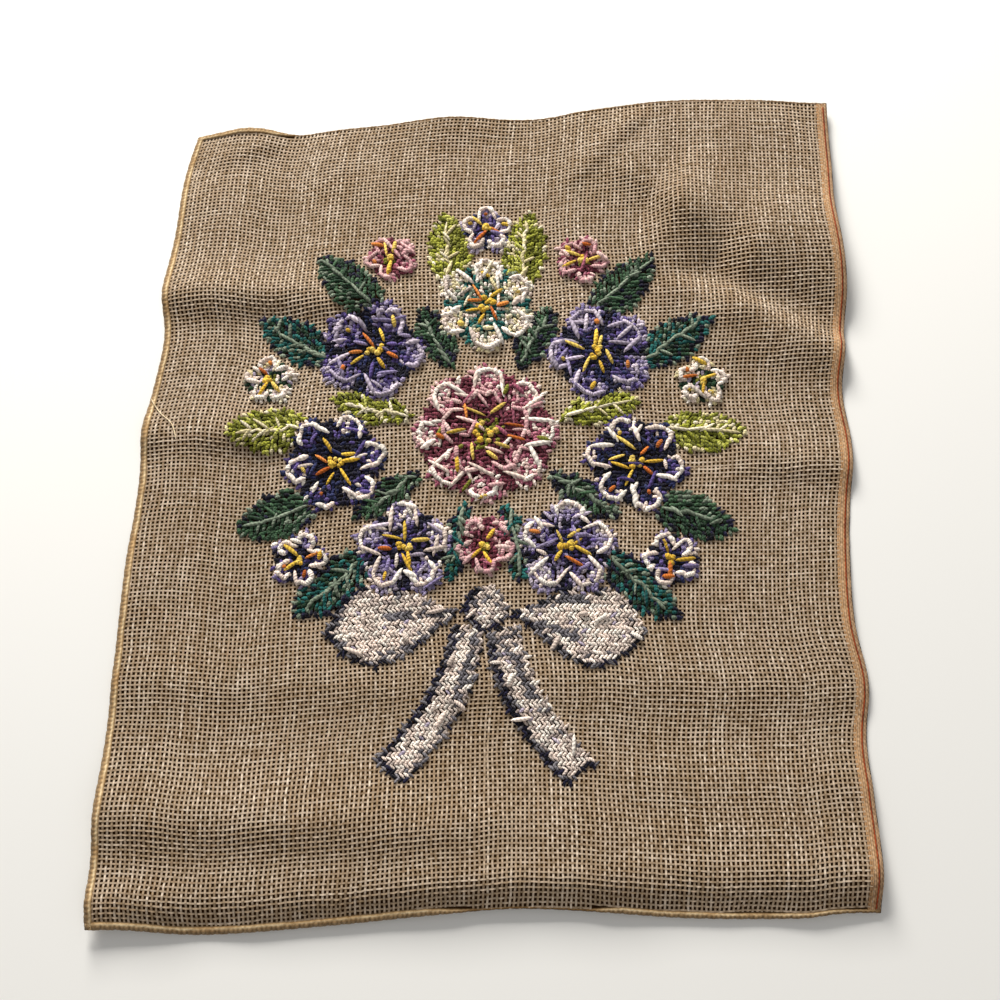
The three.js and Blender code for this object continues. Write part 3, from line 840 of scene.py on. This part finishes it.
def selvage_profile(step, part):
    wander = 0.14 * np.sin(0.9 * step) * np.sin(0.23 * step + 1.0)
    loops = 0.13 * np.abs(np.sin(np.pi * step))
    inward = part * (SELVAGE_MESHES + 0.1) + (0.02 + 0.5 * wander + loops) * (1 - part) ** 3
    warp = np.abs(np.sin(np.pi * part * SELVAGE_WARPS))
    pick = 0.5 + 0.5 * np.cos(2 * np.pi * (step + 0.5 * np.floor(part * SELVAGE_WARPS)))
    edge = np.clip(part / 0.08, 0, 1) ** 0.6
    inner = np.clip((part - 0.90) / 0.10, 0, 1)
    height = HEM_FOOT + (SELVAGE_TOP - 0.0006) * edge * (0.62 + 0.20 * warp + 0.18 * pick)
    colors = blend((part - 0.38) / 0.08, SELVAGE_TAN, SELVAGE_GOLD)
    colors = blend(0.8 * np.exp(-0.5 * ((part - 0.66) / 0.06) ** 2), colors, SELVAGE_PALE)
    # Painted shade between the warp threads, between the picks and along the inner edge.
    dark = np.clip(0.45 * (1 - warp) ** 2 + 0.35 * (1 - pick), 0, 1)
    colors = blend(np.maximum(dark, 0.75 * inner), colors, HEM_SHADE)
    return inward, height * (1 - 0.5 * inner), colors


selvage = edge_strip("selvage", "right", SELVAGE_INSET, selvage_profile, SELVAGE_STEPS_ACROSS,
                     edge_finish("woven_selvage"))

# The marker thread floats over the weft, and so shows as one thin red line.
MARKER_INWARD = 1.25
MARKER_WIDTH = 0.0007
MARKER_HIGH = 0.00172
MARKER_LOW = 0.00150
MARKER_RED = linear("ac4a20")
MARKER_WORN = linear("74280f")
red = ClothFinish("rust_red_thread", 0.8, 0.1)
red_finish = red.dyed(red.ramp(red.noise(300.0, 2.0), (0.35, MARKER_WORN), (0.65, MARKER_RED)))
steps = np.arange(1.0, MESHES_UP - 1.0, 0.5)
floats = np.where(np.arange(len(steps)) % 2, MARKER_HIGH, MARKER_LOW)
marker_places = on_cloth(np.full(steps.shape, MESHES_ACROSS - MARKER_INWARD), steps, floats)
marker_mesh = bpy.data.meshes.new("selvage_marker")
marker_mesh.from_pydata(marker_places.tolist(), [(i, i + 1) for i in range(len(steps) - 1)], [])
marker = into_scene("selvage_marker", marker_mesh)
set_by_tree(marker, band_tree("marker", MARKER_WIDTH, red_finish), Width=MARKER_WIDTH)
flat_map(marker.data)
finish_piece(marker, "selvage_red")


# The wool is worked through the mesh in short fat stitches, one over each crossing, with long
# stitches laid loosely over them round petals and along ribs, and knots in the flowers' hearts.
MESH = 0.00254
STITCH, LONG_STITCH, KNOT = 0, 1, 2
STITCH_SIDES = 5
STITCH_STEPS = 3
LONG_STITCH_MORE = 2
KNOT_SIDES = 7
KNOT_RINGS = 5
YARN_FOOT = 0.00155
YARN_TURNS = 2.5
LONG_YARN_TURNS = 4.0
STITCH_ARCH = 0.28
LONG_STITCH_ARCH = 0.55
YARN_PLUMPNESS = 3.2
YARN_TAPER = 0.55


def needlework_tree(material):
    """A tree that lays a stitch, a long stitch or a knot of wool at each point by its kind."""
    work, sizes = shaping_tree("needlework", {
        "Arch": STITCH_ARCH, "Long arch": LONG_STITCH_ARCH, "Plumpness": YARN_PLUMPNESS,
        "Sides": STITCH_SIDES, "Steps": STITCH_STEPS,
    })

    def remember(geometry, turns):
        """Keeps each place on the stitch, for the twist of the yarn in its finish."""
        along_yarn = work.add("ShaderNodeVectorMath", {"operation": "MULTIPLY"})
        work.put(along_yarn, "0", work.add("GeometryNodeInputPosition"))
        work.put(along_yarn, "1", (turns, 1.0, 1.0))
        return work.add(
            "GeometryNodeStoreNamedAttribute", {"data_type": "FLOAT_VECTOR", "domain": "POINT"},
            Geometry=geometry, Name="yarn_place", Value=along_yarn,
        )

    def stitch(arch, steps, turns):
        bow = work.add(
            "GeometryNodeCurveQuadraticBezier", Resolution=steps, Start=(-0.5, 0.0, 0.0),
            Middle=work.add("ShaderNodeCombineXYZ", Z=arch), End=(0.5, 0.0, 0.0),
        )
        share = work.add("GeometryNodeSplineParameter").outputs["Factor"]
        out = work.math("ABSOLUTE", work.math("SUBTRACT", work.math("MULTIPLY", share, 2.0), 1.0))
        fall = work.math("POWER", out, sizes["Plumpness"])
        radius = work.math("SUBTRACT", 1.0, work.math("MULTIPLY", fall, YARN_TAPER))
        sized = work.add("GeometryNodeSetCurveRadius", Curve=bow, Radius=radius)
        ring = work.add("GeometryNodeCurvePrimitiveCircle", {"mode": "RADIUS"},
                        Resolution=sizes["Sides"], Radius=0.5)
        body = work.add("GeometryNodeCurveToMesh", Curve=sized, Profile_Curve=ring, Fill_Caps=True)
        if "Scale" in body.inputs:
            work.put(body, "Scale", radius)
        return remember(body, turns)

    def laid(kind, unit):
        what = work.add("GeometryNodeInputNamedAttribute", {"data_type": "INT"}, Name="kind")
        chosen = work.add("FunctionNodeCompare", {"data_type": "INT", "operation": "EQUAL"})
        sockets = [s for s in chosen.inputs if s.enabled]
        work.tree.links.new(what.outputs[0], sockets[0])
        sockets[1].default_value = kind
        heading, upright, size = (
            work.add("GeometryNodeInputNamedAttribute", {"data_type": "FLOAT_VECTOR"}, Name=n)
            for n in ("heading", "upright", "size")
        )
        turn = work.add("FunctionNodeAxesToRotation", {"primary_axis": "Z", "secondary_axis": "X"},
                        Primary_Axis=upright, Secondary_Axis=heading)
        return work.add("GeometryNodeInstanceOnPoints", Points=sizes["Geometry"], Selection=chosen,
                        Instance=unit, Rotation=turn, Scale=size)

    long_steps = work.math("ADD", sizes["Steps"], LONG_STITCH_MORE)
    ball = work.add("GeometryNodeMeshUVSphere", Segments=KNOT_SIDES, Rings=KNOT_RINGS, Radius=0.5)
    joined = work.add("GeometryNodeJoinGeometry")
    for kind, unit in (
        (STITCH, stitch(sizes["Arch"], sizes["Steps"], YARN_TURNS)),
        (LONG_STITCH, stitch(sizes["Long arch"], long_steps, LONG_YARN_TURNS)),
        (KNOT, remember(ball, YARN_TURNS)),
    ):
        work.put(joined, "0", laid(kind, unit))
    return close_tree(work, joined, material, smooth=True)


wool = ClothFinish("thick_wool", 0.95, 0.15)
yarn = wool.add("ShaderNodeSeparateXYZ", Vector=wool.attribute("yarn_place", "Vector")).outputs
around = wool.math("MULTIPLY", wool.math("ARCTAN2", yarn["Y"], yarn["Z"]), 2.0)
twist = wool.math("MULTIPLY", yarn["X"], 2 * math.pi)
ply = wool.math("SINE", wool.math("ADD", around, twist))
ply = wool.math("ADD", wool.math("MULTIPLY", ply, 0.5), 0.5)
fuzz = wool.noise(1400.0, 2.0)


def ply_and_fuzz(ply_share, fuzz_share):
    return wool.math("ADD", wool.math("MULTIPLY", ply, ply_share),
                     wool.math("MULTIPLY", fuzz, fuzz_share))


# Painted shade in the grooves between the plies, with fuzz noise that flecks the yarn darker.
ply_shade_and_fuzz = wool.ramp(ply_and_fuzz(0.35, 0.5), (0.15, (0.54, 0.52, 0.54)), (0.52, (1.0, 1.0, 1.0)))
dyed_yarn = wool.mix(1.0, wool.attribute("dye", "Color"), ply_shade_and_fuzz, "MULTIPLY")
needlework = needlework_tree(wool.dyed(dyed_yarn, ply_and_fuzz(0.7, 0.6), 0.8, 0.0004))

# The wool basket, each shade in a few dye lots, as shop-dyed wool varies.
WOOLS = {
    "night": ("1b1a2b", "14141f", "23223a"),
    "navy": ("2a2f58", "222849", "363c66"),
    "violet": ("584a86", "483d72", "6b5c98"),
    "lilac": ("9085ac", "81769f", "a297b8"),
    "mist": ("c0b4c8", "b0a5ba", "d2c6d4"),
    "white": ("fff1e5", "f3e0d3", "fff7ec"),
    "blush": ("e0b4b4", "d4a2a6", "eccac4"),
    "rose": ("ab6075", "9a5268", "bb7688"),
    "maroon": ("6e3140", "5c2834", "7e3d4b"),
    "cream": ("e8dcb4", "dccfa0", "f0e6c8"),
    "yellow": ("e8c24a", "dcb23c", "f0d068"),
    "orange": ("cf7430", "bf6426", "de8a42"),
    "lime": ("b3b548", "a3a63c", "c6c766"),
    "olive": ("777a26", "6a6c20", "888a34"),
    "green": ("3d5a40", "344c38", "4a684c"),
    "forest": ("243c2a", "1d3223", "2d4a34"),
    "teal": ("1f5f5c", "18504e", "2c706c"),
    "sage": ("7d8a78", "6f7c6b", "8d9a87"),
    "silver": ("c8b9b0", "b4a59f", "dacabe"),
    "slate": ("77747a", "67646b", "87848a"),
}
DYES = {name: np.array([linear(lot) for lot in lots]) for name, lots in WOOLS.items()}


HEADING_REACH = 0.25
KNOBBLY_SHARE = 0.6
FOOT_UNEVEN = 0.0002
FRINGE_REACH = 0.45
FRINGE_TURN = 0.6
FRINGE_WIDTH = 0.92
FRINGE_SINK = 0.0002
FRINGE_UNEVEN = 0.0001


class Work:
    """The stitches of one piece of wool work, gathered before they are laid."""

    def __init__(self, seed):
        self.rng = np.random.default_rng(seed)
        self.laid = []

    def dye(self, wools):
        picks = np.array([DYES[w][self.rng.integers(3)] for w in wools])
        return picks * self.rng.normal(1.0, 0.16, (len(wools), 1)).clip(0.55, 1.4)

    def lay(self, kind, columns, rows, headings, sizes, heights, wools):
        count = len(columns)
        kinds, heights = np.full(count, kind), np.broadcast_to(heights, count)
        self.laid.append((kinds, columns, rows, headings, sizes, heights, self.dye(wools)))

    def finish(self, name, slot, *stood_for):
        """Lays the stitches on the cloth, each upright on it and headed along it."""
        kinds, columns, rows, angle, sizes, heights, dyes = (
            np.concatenate(parts) for parts in zip(*self.laid)
        )
        mesh = bpy.data.meshes.new(name)
        mesh.from_pydata(on_cloth(columns, rows, heights).tolist(), [], [])
        across, up = HEADING_REACH * np.cos(angle), HEADING_REACH * np.sin(angle)
        ahead = on_cloth(columns + across, rows + up, 0.0)
        behind = on_cloth(columns - across, rows - up, 0.0)
        upright = on_cloth(columns, rows, 1.0) - on_cloth(columns, rows, 0.0)
        carry(mesh, "heading", "FLOAT_VECTOR", ahead - behind)
        carry(mesh, "upright", "FLOAT_VECTOR", upright)
        carry(mesh, "size", "FLOAT_VECTOR", sizes)
        carry(mesh, "dye", "FLOAT_COLOR", dyes)
        carry(mesh, "kind", "INT", kinds)
        thing = into_scene(name, mesh)
        set_by_tree(thing, needlework, Arch=STITCH_ARCH, Sides=STITCH_SIDES, Steps=STITCH_STEPS)
        flat_map(thing.data)
        return finish_piece(thing, slot, *stood_for)

    def fill(self, mask, headings, wools, length=1.45, width=0.95, turn=0.5, fringe=0.4,
             astray=0.12):
        """One stitch over each crossing of a mask, in meshes, with a hand's unevenness, and a
        share of stitches that stick out all round it."""
        rows, columns = np.nonzero(mask)
        count = len(rows)
        draw = self.rng.normal
        slants = headings[mask] + draw(0, turn, count)
        self.lay(
            STITCH,
            columns + 0.5 + draw(0, astray, count),
            rows + 0.5 + draw(0, astray, count),
            slants,
            self.sizes_of(count, length, width),
            YARN_FOOT + draw(0, FOOT_UNEVEN, count),
            wools[mask],
        )
        outer = mask & ~shrunk(mask) & (self.rng.random(mask.shape) < fringe)
        slope_up, slope_across = np.gradient(soften(mask.astype(float), 1.0))
        outward = np.arctan2(-slope_up, -slope_across)[outer]
        rows, columns = np.nonzero(outer)
        count = len(rows)
        self.lay(
            STITCH,
            columns + 0.5 + FRINGE_REACH * np.cos(outward),
            rows + 0.5 + FRINGE_REACH * np.sin(outward),
            outward + draw(0, FRINGE_TURN, count),
            self.sizes_of(count, length, width * FRINGE_WIDTH),
            YARN_FOOT - FRINGE_SINK + draw(0, FRINGE_UNEVEN, count),
            wools[outer],
        )

    def sizes_of(self, count, length, width):
        """Uneven lengths, widths and heights of stitches, from sizes in meshes."""
        draw = self.rng.normal
        long = length * MESH * draw(1.0, 0.13, count).clip(0.7, 1.4)
        wide = width * MESH * draw(1.0, 0.11, count).clip(0.7, 1.3)
        return np.c_[long, wide, wide * draw(0.92, 0.08, count).clip(0.7, 1.15)]

    def strands(self, mask, count, wools, longest=5.0, height=0.0027):
        """Loose long stitches that cross a motif here and there."""
        rows, columns = np.nonzero(shrunk(mask))
        picks = self.rng.integers(len(rows), size=count)
        sizes = self.sizes_of(count, 1.0, 1.02)
        sizes[:, 0] *= self.rng.uniform(2.0, longest, count)
        self.lay(LONG_STITCH, columns[picks] + 0.5, rows[picks] + 0.5,
                 self.rng.uniform(0, math.pi, count), sizes,
                 height + self.rng.normal(0, 0.00015, count), self.rng.choice(wools, count))

    def run(self, places, wool, width=1.12, height=0.0025, overlap=1.2, dropped=0.0, astray=0.0):
        """Yarn laid along places given in meshes: long stitches end to end, or for a knobbly
        yarn twice as many short ones, and a share of them left out."""
        places = np.asarray(places, float)
        places = places + self.rng.normal(0, astray, places.shape)
        knobbly = len(places) > 2 and self.rng.random() < KNOBBLY_SHARE
        if knobbly:
            halves = (places[1:] + places[:-1]) / 2 + self.rng.normal(0, 0.22, places[1:].shape)
            places = np.stack((places[:-1], halves), axis=1).reshape(-1, 2)
            width, overlap = width * 1.12, 1.65
        step = np.diff(places, axis=0)
        middle = (places[1:] + places[:-1]) / 2
        kept = self.rng.random(len(step)) >= dropped
        step, middle = step[kept], middle[kept]
        count = len(step)
        wide = width * MESH * self.rng.normal(1.0, 0.12, count).clip(0.75, 1.3)
        long = np.hypot(*step.T) * MESH * overlap
        headings = np.arctan2(step[:, 1], step[:, 0])
        headings = headings + self.rng.normal(0, 0.30 if knobbly else 0.12, count)
        heights = height + self.rng.normal(0, 0.0002 if knobbly else 0.00012, count)
        self.lay(STITCH if knobbly else LONG_STITCH, middle[:, 0], middle[:, 1], headings,
                 np.c_[long, wide, wide * 0.9], heights, [wool] * count)

    def mottled(self, mask, wools, weights):
        """A wool for each crossing, picked by weight."""
        return self.rng.choice(np.array(wools, dtype=object), mask.shape, p=weights)

    def knots(self, places, wool, size=1.6, height=0.0027):
        places = np.asarray(places, float).reshape(-1, 2)
        count = len(places)
        wide = size * MESH * self.rng.normal(1.0, 0.14, count).clip(0.7, 1.3)
        self.lay(KNOT, places[:, 0], places[:, 1], self.rng.uniform(0, ROUGH_TURN, count),
                 np.c_[wide, wide * 0.86, wide * 0.8], height, [wool] * count)


LEAST_BESIDE = 3


def mask_of(*names):
    """The crossings of some motifs, but for any that stand alone."""
    mask = np.isin(worked, [MOTIFS.index(n) for n in names])
    near = np.pad(mask, 1).astype(int)
    beside = sum(near[1 + j:near.shape[0] - 1 + j, 1 + i:near.shape[1] - 1 + i]
                 for j in (-1, 0, 1) for i in (-1, 0, 1)) - mask
    return mask & (beside >= LEAST_BESIDE)


def place_in_meshes(x, y):
    """Where a place of the table is in the canvas, in meshes from its lower left corner."""
    away = np.hypot(crossings[..., 0] - x, crossings[..., 1] - y)
    row, column = np.unravel_index(np.argmin(away), away.shape)
    back = np.linalg.inv(np.array([
        crossings[row, min(column + 1, MESHES_ACROSS - 1), :2] - crossings[row, column, :2],
        crossings[min(row + 1, MESHES_UP - 1), column, :2] - crossings[row, column, :2],
    ]).T)
    across, up = back @ (np.array((x, y)) - crossings[row, column, :2])
    return np.array((column + 0.5 + across, row + 0.5 + up))


def rings_of(mask):
    """How many stitches in from its motif's edge each crossing is, from 0."""
    depth = np.full(mask.shape, -1)
    left = mask.copy()
    ring = 0
    while left.any():
        inner = shrunk(left)
        depth[left & ~inner] = ring
        left = inner
        ring += 1
    return depth


def heart_of(name):
    low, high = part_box(name)
    return ((low.x + high.x) / 2, (low.y + high.y) / 2)


GARLAND_HEART = np.array(heart_of("rosette_heart"))


# A flower: petals in short mottled stitches with dark ones between them. A loose loop of long
# pale stitches rings each petal, and orange and yellow stitches and knots stand about the heart.
LOOP_REACH = 0.92
LOOP_SPREAD = 0.40
LOOP_STEPS = 6
INNER_ARC_SHARE = 0.65
STITCHES_PER_STRAND = 45
DOTTED_SHARE = 0.45


def flower(work, name, petals, stamens, notch, wools):
    mask = mask_of(name)
    heart = np.array(heart_of(name))
    out = heart - GARLAND_HEART
    turn = math.atan2(out[1], out[0]) if np.hypot(*out) > 0.01 else math.pi / 2
    x, y = crossings[..., 0] - heart[0], crossings[..., 1] - heart[1]
    angle, away = np.arctan2(y, x), np.hypot(x, y)
    low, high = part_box(name)
    radius = max(high.x - low.x, high.y - low.y) / 2

    def outline(around):
        """How far the flower reaches, a little less between its petals."""
        return radius * (1 - notch * (0.5 - 0.5 * np.cos(petals * around)))

    share = away / outline(angle - turn) + work.rng.normal(0, 0.05, mask.shape)
    petal = (angle - turn) * petals / (2 * math.pi)
    beside = np.abs(petal - np.round(petal)) + work.rng.normal(0, 0.04, mask.shape)
    gap, deep, main, light, edge, centre_wool = wools.split()
    shades = work.mottled(mask, (main, deep, light, gap), (0.50, 0.22, 0.16, 0.12))
    zones = (
        (share < 0.50, (deep, gap, main), (0.48, 0.30, 0.22)),
        (share > 0.68, (main, light, edge), (0.38, 0.40, 0.22)),
        ((beside > 0.37) & (share > 0.30), (gap, deep), (0.85, 0.15)),
        (share < 0.22, (centre_wool, deep), (0.75, 0.25)),
    )
    for zone, choice, weights in zones:
        shades = np.where(zone, work.mottled(mask, choice, weights), shades)
    work.fill(mask, angle + 0.5 * np.sign(petal - np.round(petal)), shades, turn=0.8)

    def spot(far, way):
        return place_in_meshes(heart[0] + far * math.cos(way), heart[1] + far * math.sin(way))

    for number in range(petals):
        middle = turn + 2 * math.pi * number / petals + work.rng.normal(0, 0.05)
        spread = np.linspace(-LOOP_SPREAD, LOOP_SPREAD, LOOP_STEPS) * 2 * math.pi / petals
        far = LOOP_REACH * outline(spread)
        far[[0, -1]] *= work.rng.uniform(0.66, 0.84, 2)
        ring = [spot(r, middle + s) for r, s in zip(far, spread)]
        work.run(ring, edge, dropped=0.08, astray=0.22)
        inner = radius * work.rng.uniform(0.50, 0.64)
        if work.rng.random() < INNER_ARC_SHARE:
            arc = [spot(inner, middle + s) for s in (-0.55 / petals, 0.1 / petals, 0.8 / petals)]
            work.run(arc, light, width=0.95, height=0.0026, astray=0.3)
        if work.rng.random() < DOTTED_SHARE:
            dot = spot(radius * 0.66, middle + work.rng.normal(0, 0.12))
            ends = (dot, dot + work.rng.normal(0, 1.1, 2))
            work.run(ends, work.rng.choice(("orange", "yellow")), width=1.15, height=0.0029)
    for number in range(stamens):
        middle = turn + 2 * math.pi * (number + 0.7 * work.rng.random()) / stamens
        start = work.rng.uniform(0.14, 0.34) * radius
        end = start + work.rng.uniform(2.0, 3.6) * MESH
        wool = work.rng.choice(("orange", "yellow", "yellow"))
        tips = (spot(start, middle), spot(end, middle + work.rng.normal(0, 0.25)))
        work.run(tips, wool, width=1.0, height=0.0029)
    work.strands(mask, int(mask.sum() / STITCHES_PER_STRAND), (light, edge, main))
    spots = max(3, int(radius * 300))
    centre = place_in_meshes(*heart)
    turnings = work.rng.uniform(0, 2 * math.pi, spots)
    far = np.sqrt(work.rng.random(spots)) * 0.15 * radius / MESH
    places = np.c_[centre[0] + far * np.cos(turnings), centre[1] + far * np.sin(turnings)]
    work.knots(places, "yellow")


# A leaf: mottled slanting stitches on each side of a loose pale rib with short veins. Its lower
# side and its rim are darker.
RIB_START = 0.003
RIB_END = 0.005
RIB_STEP = 3.2
RIB_BOW = 0.0012
RIM_WANDER = 0.0012
LEAF_SLANT = 0.7
VEIN_SHARE = 0.6
VEIN_AHEAD = 0.004
VEIN_ASIDE = 0.0055


def leaf(work, name, wools):
    mask = mask_of(name)
    rows, columns = np.nonzero(mask)
    spots = crossings[rows, columns, :2]
    middle = spots.mean(0)
    way = np.linalg.svd(spots - middle)[2][0]
    way = way * np.sign(way @ (middle - GARLAND_HEART))
    side = np.array((-way[1], way[0]))
    flat = crossings[..., :2] - middle
    forward, beside = flat @ way, flat @ side
    depth = rings_of(mask)
    edge, dark, main, light = wools.split()
    upper = work.mottled(mask, (main, light, dark), (0.52, 0.26, 0.22))
    lower = work.mottled(mask, (dark, main, edge), (0.50, 0.28, 0.22))
    shades = np.where(beside > work.rng.normal(0, RIM_WANDER, mask.shape), upper, lower)
    rim_shades = work.mottled(mask, (edge, main, light), (0.45, 0.35, 0.20))
    shades = np.where(depth == 0, rim_shades, shades)
    lean = math.atan2(way[1], way[0])
    work.fill(mask, lean + np.where(beside > 0, LEAF_SLANT, -LEAF_SLANT), shades, turn=0.4)
    low, high = forward[mask].min(), forward[mask].max()
    count = max(4, int((high - low) / (RIB_STEP * MESH)))
    marks = np.linspace(low + RIB_START, high - RIB_END, count)
    bow = RIB_BOW * np.sin(np.linspace(0, math.pi, count))
    rib = [place_in_meshes(*(middle + way * m + side * b)) for m, b in zip(marks, bow)]
    work.run(rib, light, width=0.85, astray=0.2)
    for mark in marks[1:-1]:
        for hand in (-1, 1):
            if work.rng.random() < VEIN_SHARE:
                tip = middle + way * (mark + VEIN_AHEAD) + side * hand * VEIN_ASIDE
                vein = [middle + way * mark, tip]
                work.run([place_in_meshes(*v) for v in vein], work.rng.choice((light, main)),
                         width=0.8, astray=0.2)


# The heart rosette is the largest motif: two rounds of rose petals, the inner one of five loose
# loops, about a yellow heart.
INNER_PETALS = 5
INNER_SHARE = 0.60
INNER_TURN = 0.4
INNER_SPREAD = 0.42
rosette = Work(21)
flower(rosette, "rosette_heart", 8, 9, 0.12, "maroon maroon rose blush white olive")
low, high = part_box("rosette_heart")
inner_radius = (high.x - low.x) / 2 * INNER_SHARE
for number in range(INNER_PETALS):
    middle = 2 * math.pi * number / INNER_PETALS + INNER_TURN
    spread = np.linspace(-INNER_SPREAD, INNER_SPREAD, LOOP_STEPS) * 2 * math.pi / INNER_PETALS
    far = inner_radius * (0.74 + 0.26 * np.cos(INNER_PETALS * spread / 2))
    way = middle + spread
    ring = [place_in_meshes(*(GARLAND_HEART + r * np.array((math.cos(w), math.sin(w)))))
            for r, w in zip(far, way)]
    rosette.run(ring, "blush", height=0.0027, dropped=0.1, astray=0.35)
rosette.strands(mask_of("rosette_heart"), 14, ("olive", "yellow", "blush"), longest=3.4)
rosette.finish("rosette", "wool_pink", "rosette_heart")

# The flowers and blossoms of the garland. Those in one main wool are one piece: their motifs, and
# for each kind its petals, stamens, the depth between petals and its wools from gap to heart.
HANDS = ("_left", "_right")
FLOWER_WORK = (
    ("violet_flowers", "wool_violet", 22, (
        ("flower_high", HANDS, 5, 6, 0.20, "night navy violet lilac mist night"),
        ("blossom_low", HANDS, 5, 3, 0.24, "night navy violet lilac white navy"),
    )),
    ("navy_flowers", "wool_navy", 23, (
        ("flower_side", HANDS, 6, 7, 0.20, "night night navy violet white night"),
    )),
    ("lilac_flowers", "wool_lilac", 24, (
        ("flower_low", HANDS, 5, 6, 0.20, "night violet lilac mist white navy"),
        ("blossom_top", ("",), 5, 3, 0.24, "navy violet lilac mist white night"),
    )),
    ("white_flowers", "wool_white", 25, (
        ("flower_top", ("",), 6, 7, 0.20, "teal sage white cream white teal"),
        ("blossom_side", HANDS, 5, 3, 0.24, "forest mist white cream white olive"),
    )),
    ("pink_blossoms", "wool_pink", 26, (
        ("blossom_foot", ("",), 5, 3, 0.24, "maroon maroon rose blush blush olive"),
        ("blossom_high", HANDS, 5, 3, 0.24, "maroon maroon rose blush blush olive"),
    )),
)
for piece, slot, seed, kinds in FLOWER_WORK:
    flowers = Work(seed)
    for kind, hands, *make in kinds:
        for hand in hands:
            flower(flowers, kind + hand, *make)
    flowers.finish(piece, slot, *(kind + hand for kind, hands, *_ in kinds for hand in hands))

# The leaves stand in pairs about the garland. Those in one main wool are one piece, with its
# wools from rim to rib.
LEAF_WORK = (
    ("lime_leaves", "wool_lime", 31, "olive olive lime cream",
     ("leaf_top", "leaf_side", "leaf_inner_side")),
    ("green_leaves", "wool_green", 32, "night forest green sage",
     ("leaf_high", "leaf_lower", "leaf_inner_high", "leaf_inner_low")),
    ("teal_leaves", "wool_teal", 33, "night forest teal sage",
     ("leaf_upper", "leaf_low", "leaf_foot")),
)
for piece, slot, seed, wools, kinds in LEAF_WORK:
    leaves = Work(seed)
    names = [kind + hand for kind in kinds for hand in HANDS]
    for name in names:
        leaf(leaves, name, wools)
    leaves.finish(piece, slot, *names)

# The bow is one wide ribbon in silver and white wool, in rows that slant to and fro like knitting,
# with pleats in slate towards the knot and a near-black shade along its left and lower edges.
bow = Work(41)
BOW = ("bow_knot", "bow_loop_left", "bow_loop_right", "bow_tail_left", "bow_tail_right")
PLEATS = 16
PLEAT_REACH = 0.060
PLEAT_WIDTH = 0.62
RIBBON_EDGE = 3
ROW_SLANTS = (math.pi * 0.24, math.pi * 0.76)
knot_place = np.array(heart_of("bow_knot"))
flat = crossings[..., :2] - knot_place
away = np.hypot(flat[..., 0], flat[..., 1])
angle = np.arctan2(flat[..., 1], flat[..., 0])
pleat = (np.sin(angle * PLEATS) > PLEAT_WIDTH) & (away < PLEAT_REACH)
to_and_fro = np.where(np.floor(cross_rows) % 2 == 0, *ROW_SLANTS)
for name in BOW:
    mask = mask_of(name)
    middle_white = bow.mottled(mask, ("white", "silver", "mist"), (0.88, 0.08, 0.04))
    edge_silver = bow.mottled(mask, ("silver", "white", "slate"), (0.50, 0.38, 0.12))
    shades = np.where(rings_of(mask) >= RIBBON_EDGE, middle_white, edge_silver)
    shades = np.where(pleat, bow.mottled(mask, ("slate", "silver"), (0.8, 0.2)), shades)
    left_open = ~np.roll(mask, 2, axis=1) | ~np.roll(mask, 1, axis=0)
    shades = np.where(left_open, bow.mottled(mask, ("night", "slate"), (0.6, 0.4)), shades)
    bow.fill(mask, to_and_fro, shades, length=1.6, width=0.74, turn=0.07, fringe=0.15, astray=0.04)
    bow.strands(mask, 1 + int(mask.sum() / 100), ("white", "white", "silver"), longest=4.0)
bow.finish("ribbon_bow", "wool_silver", *BOW)


# A plain pale table top and soft light, mostly from the far side, a little from the left.
TABLE_HALF = 4.0
TABLE_BELOW = 0.0002
TABLE_TONE = (0.86, 0.86, 0.85, 1.0)
corners = [(x, y, -TABLE_BELOW) for x, y in (
    (-TABLE_HALF, -TABLE_HALF), (TABLE_HALF, -TABLE_HALF),
    (TABLE_HALF, TABLE_HALF), (-TABLE_HALF, TABLE_HALF),
)]
table_mesh = bpy.data.meshes.new("table_top")
table_mesh.from_pydata(corners, [], [(0, 1, 2, 3)])
table_material = bpy.data.materials.new("pale_table")
table_material.use_nodes = True
table_shader = table_material.node_tree.nodes["Principled BSDF"]
table_shader.inputs["Base Color"].default_value = TABLE_TONE
table_shader.inputs["Roughness"].default_value = 0.7
table_mesh.materials.append(table_material)
into_scene("table_top", table_mesh)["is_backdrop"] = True


def lamp(name, place, size, watts, color):
    light = bpy.data.lights.new(name, "AREA")
    light.size = size
    light.energy = watts
    light.color = color
    thing = into_scene(name, light)
    thing.location = place
    thing.rotation_euler = (-Vector(place)).to_track_quat("-Z", "Y").to_euler()


lamp("window", (-0.55, 1.9, 0.95), 0.8, 88.0, (1.0, 0.965, 0.90))
lamp("fill", (0.6, -1.2, 1.8), 1.8, 6.0, (1.0, 0.98, 0.94))
world = bpy.data.worlds.new("room")
world.use_nodes = True
sky = world.node_tree.nodes["Background"].inputs
sky["Color"].default_value = (1.0, 0.98, 0.95, 1.0)
sky["Strength"].default_value = 0.30
bpy.context.scene.world = world
bpy.context.scene.view_settings.view_transform = "Standard"

low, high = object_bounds()
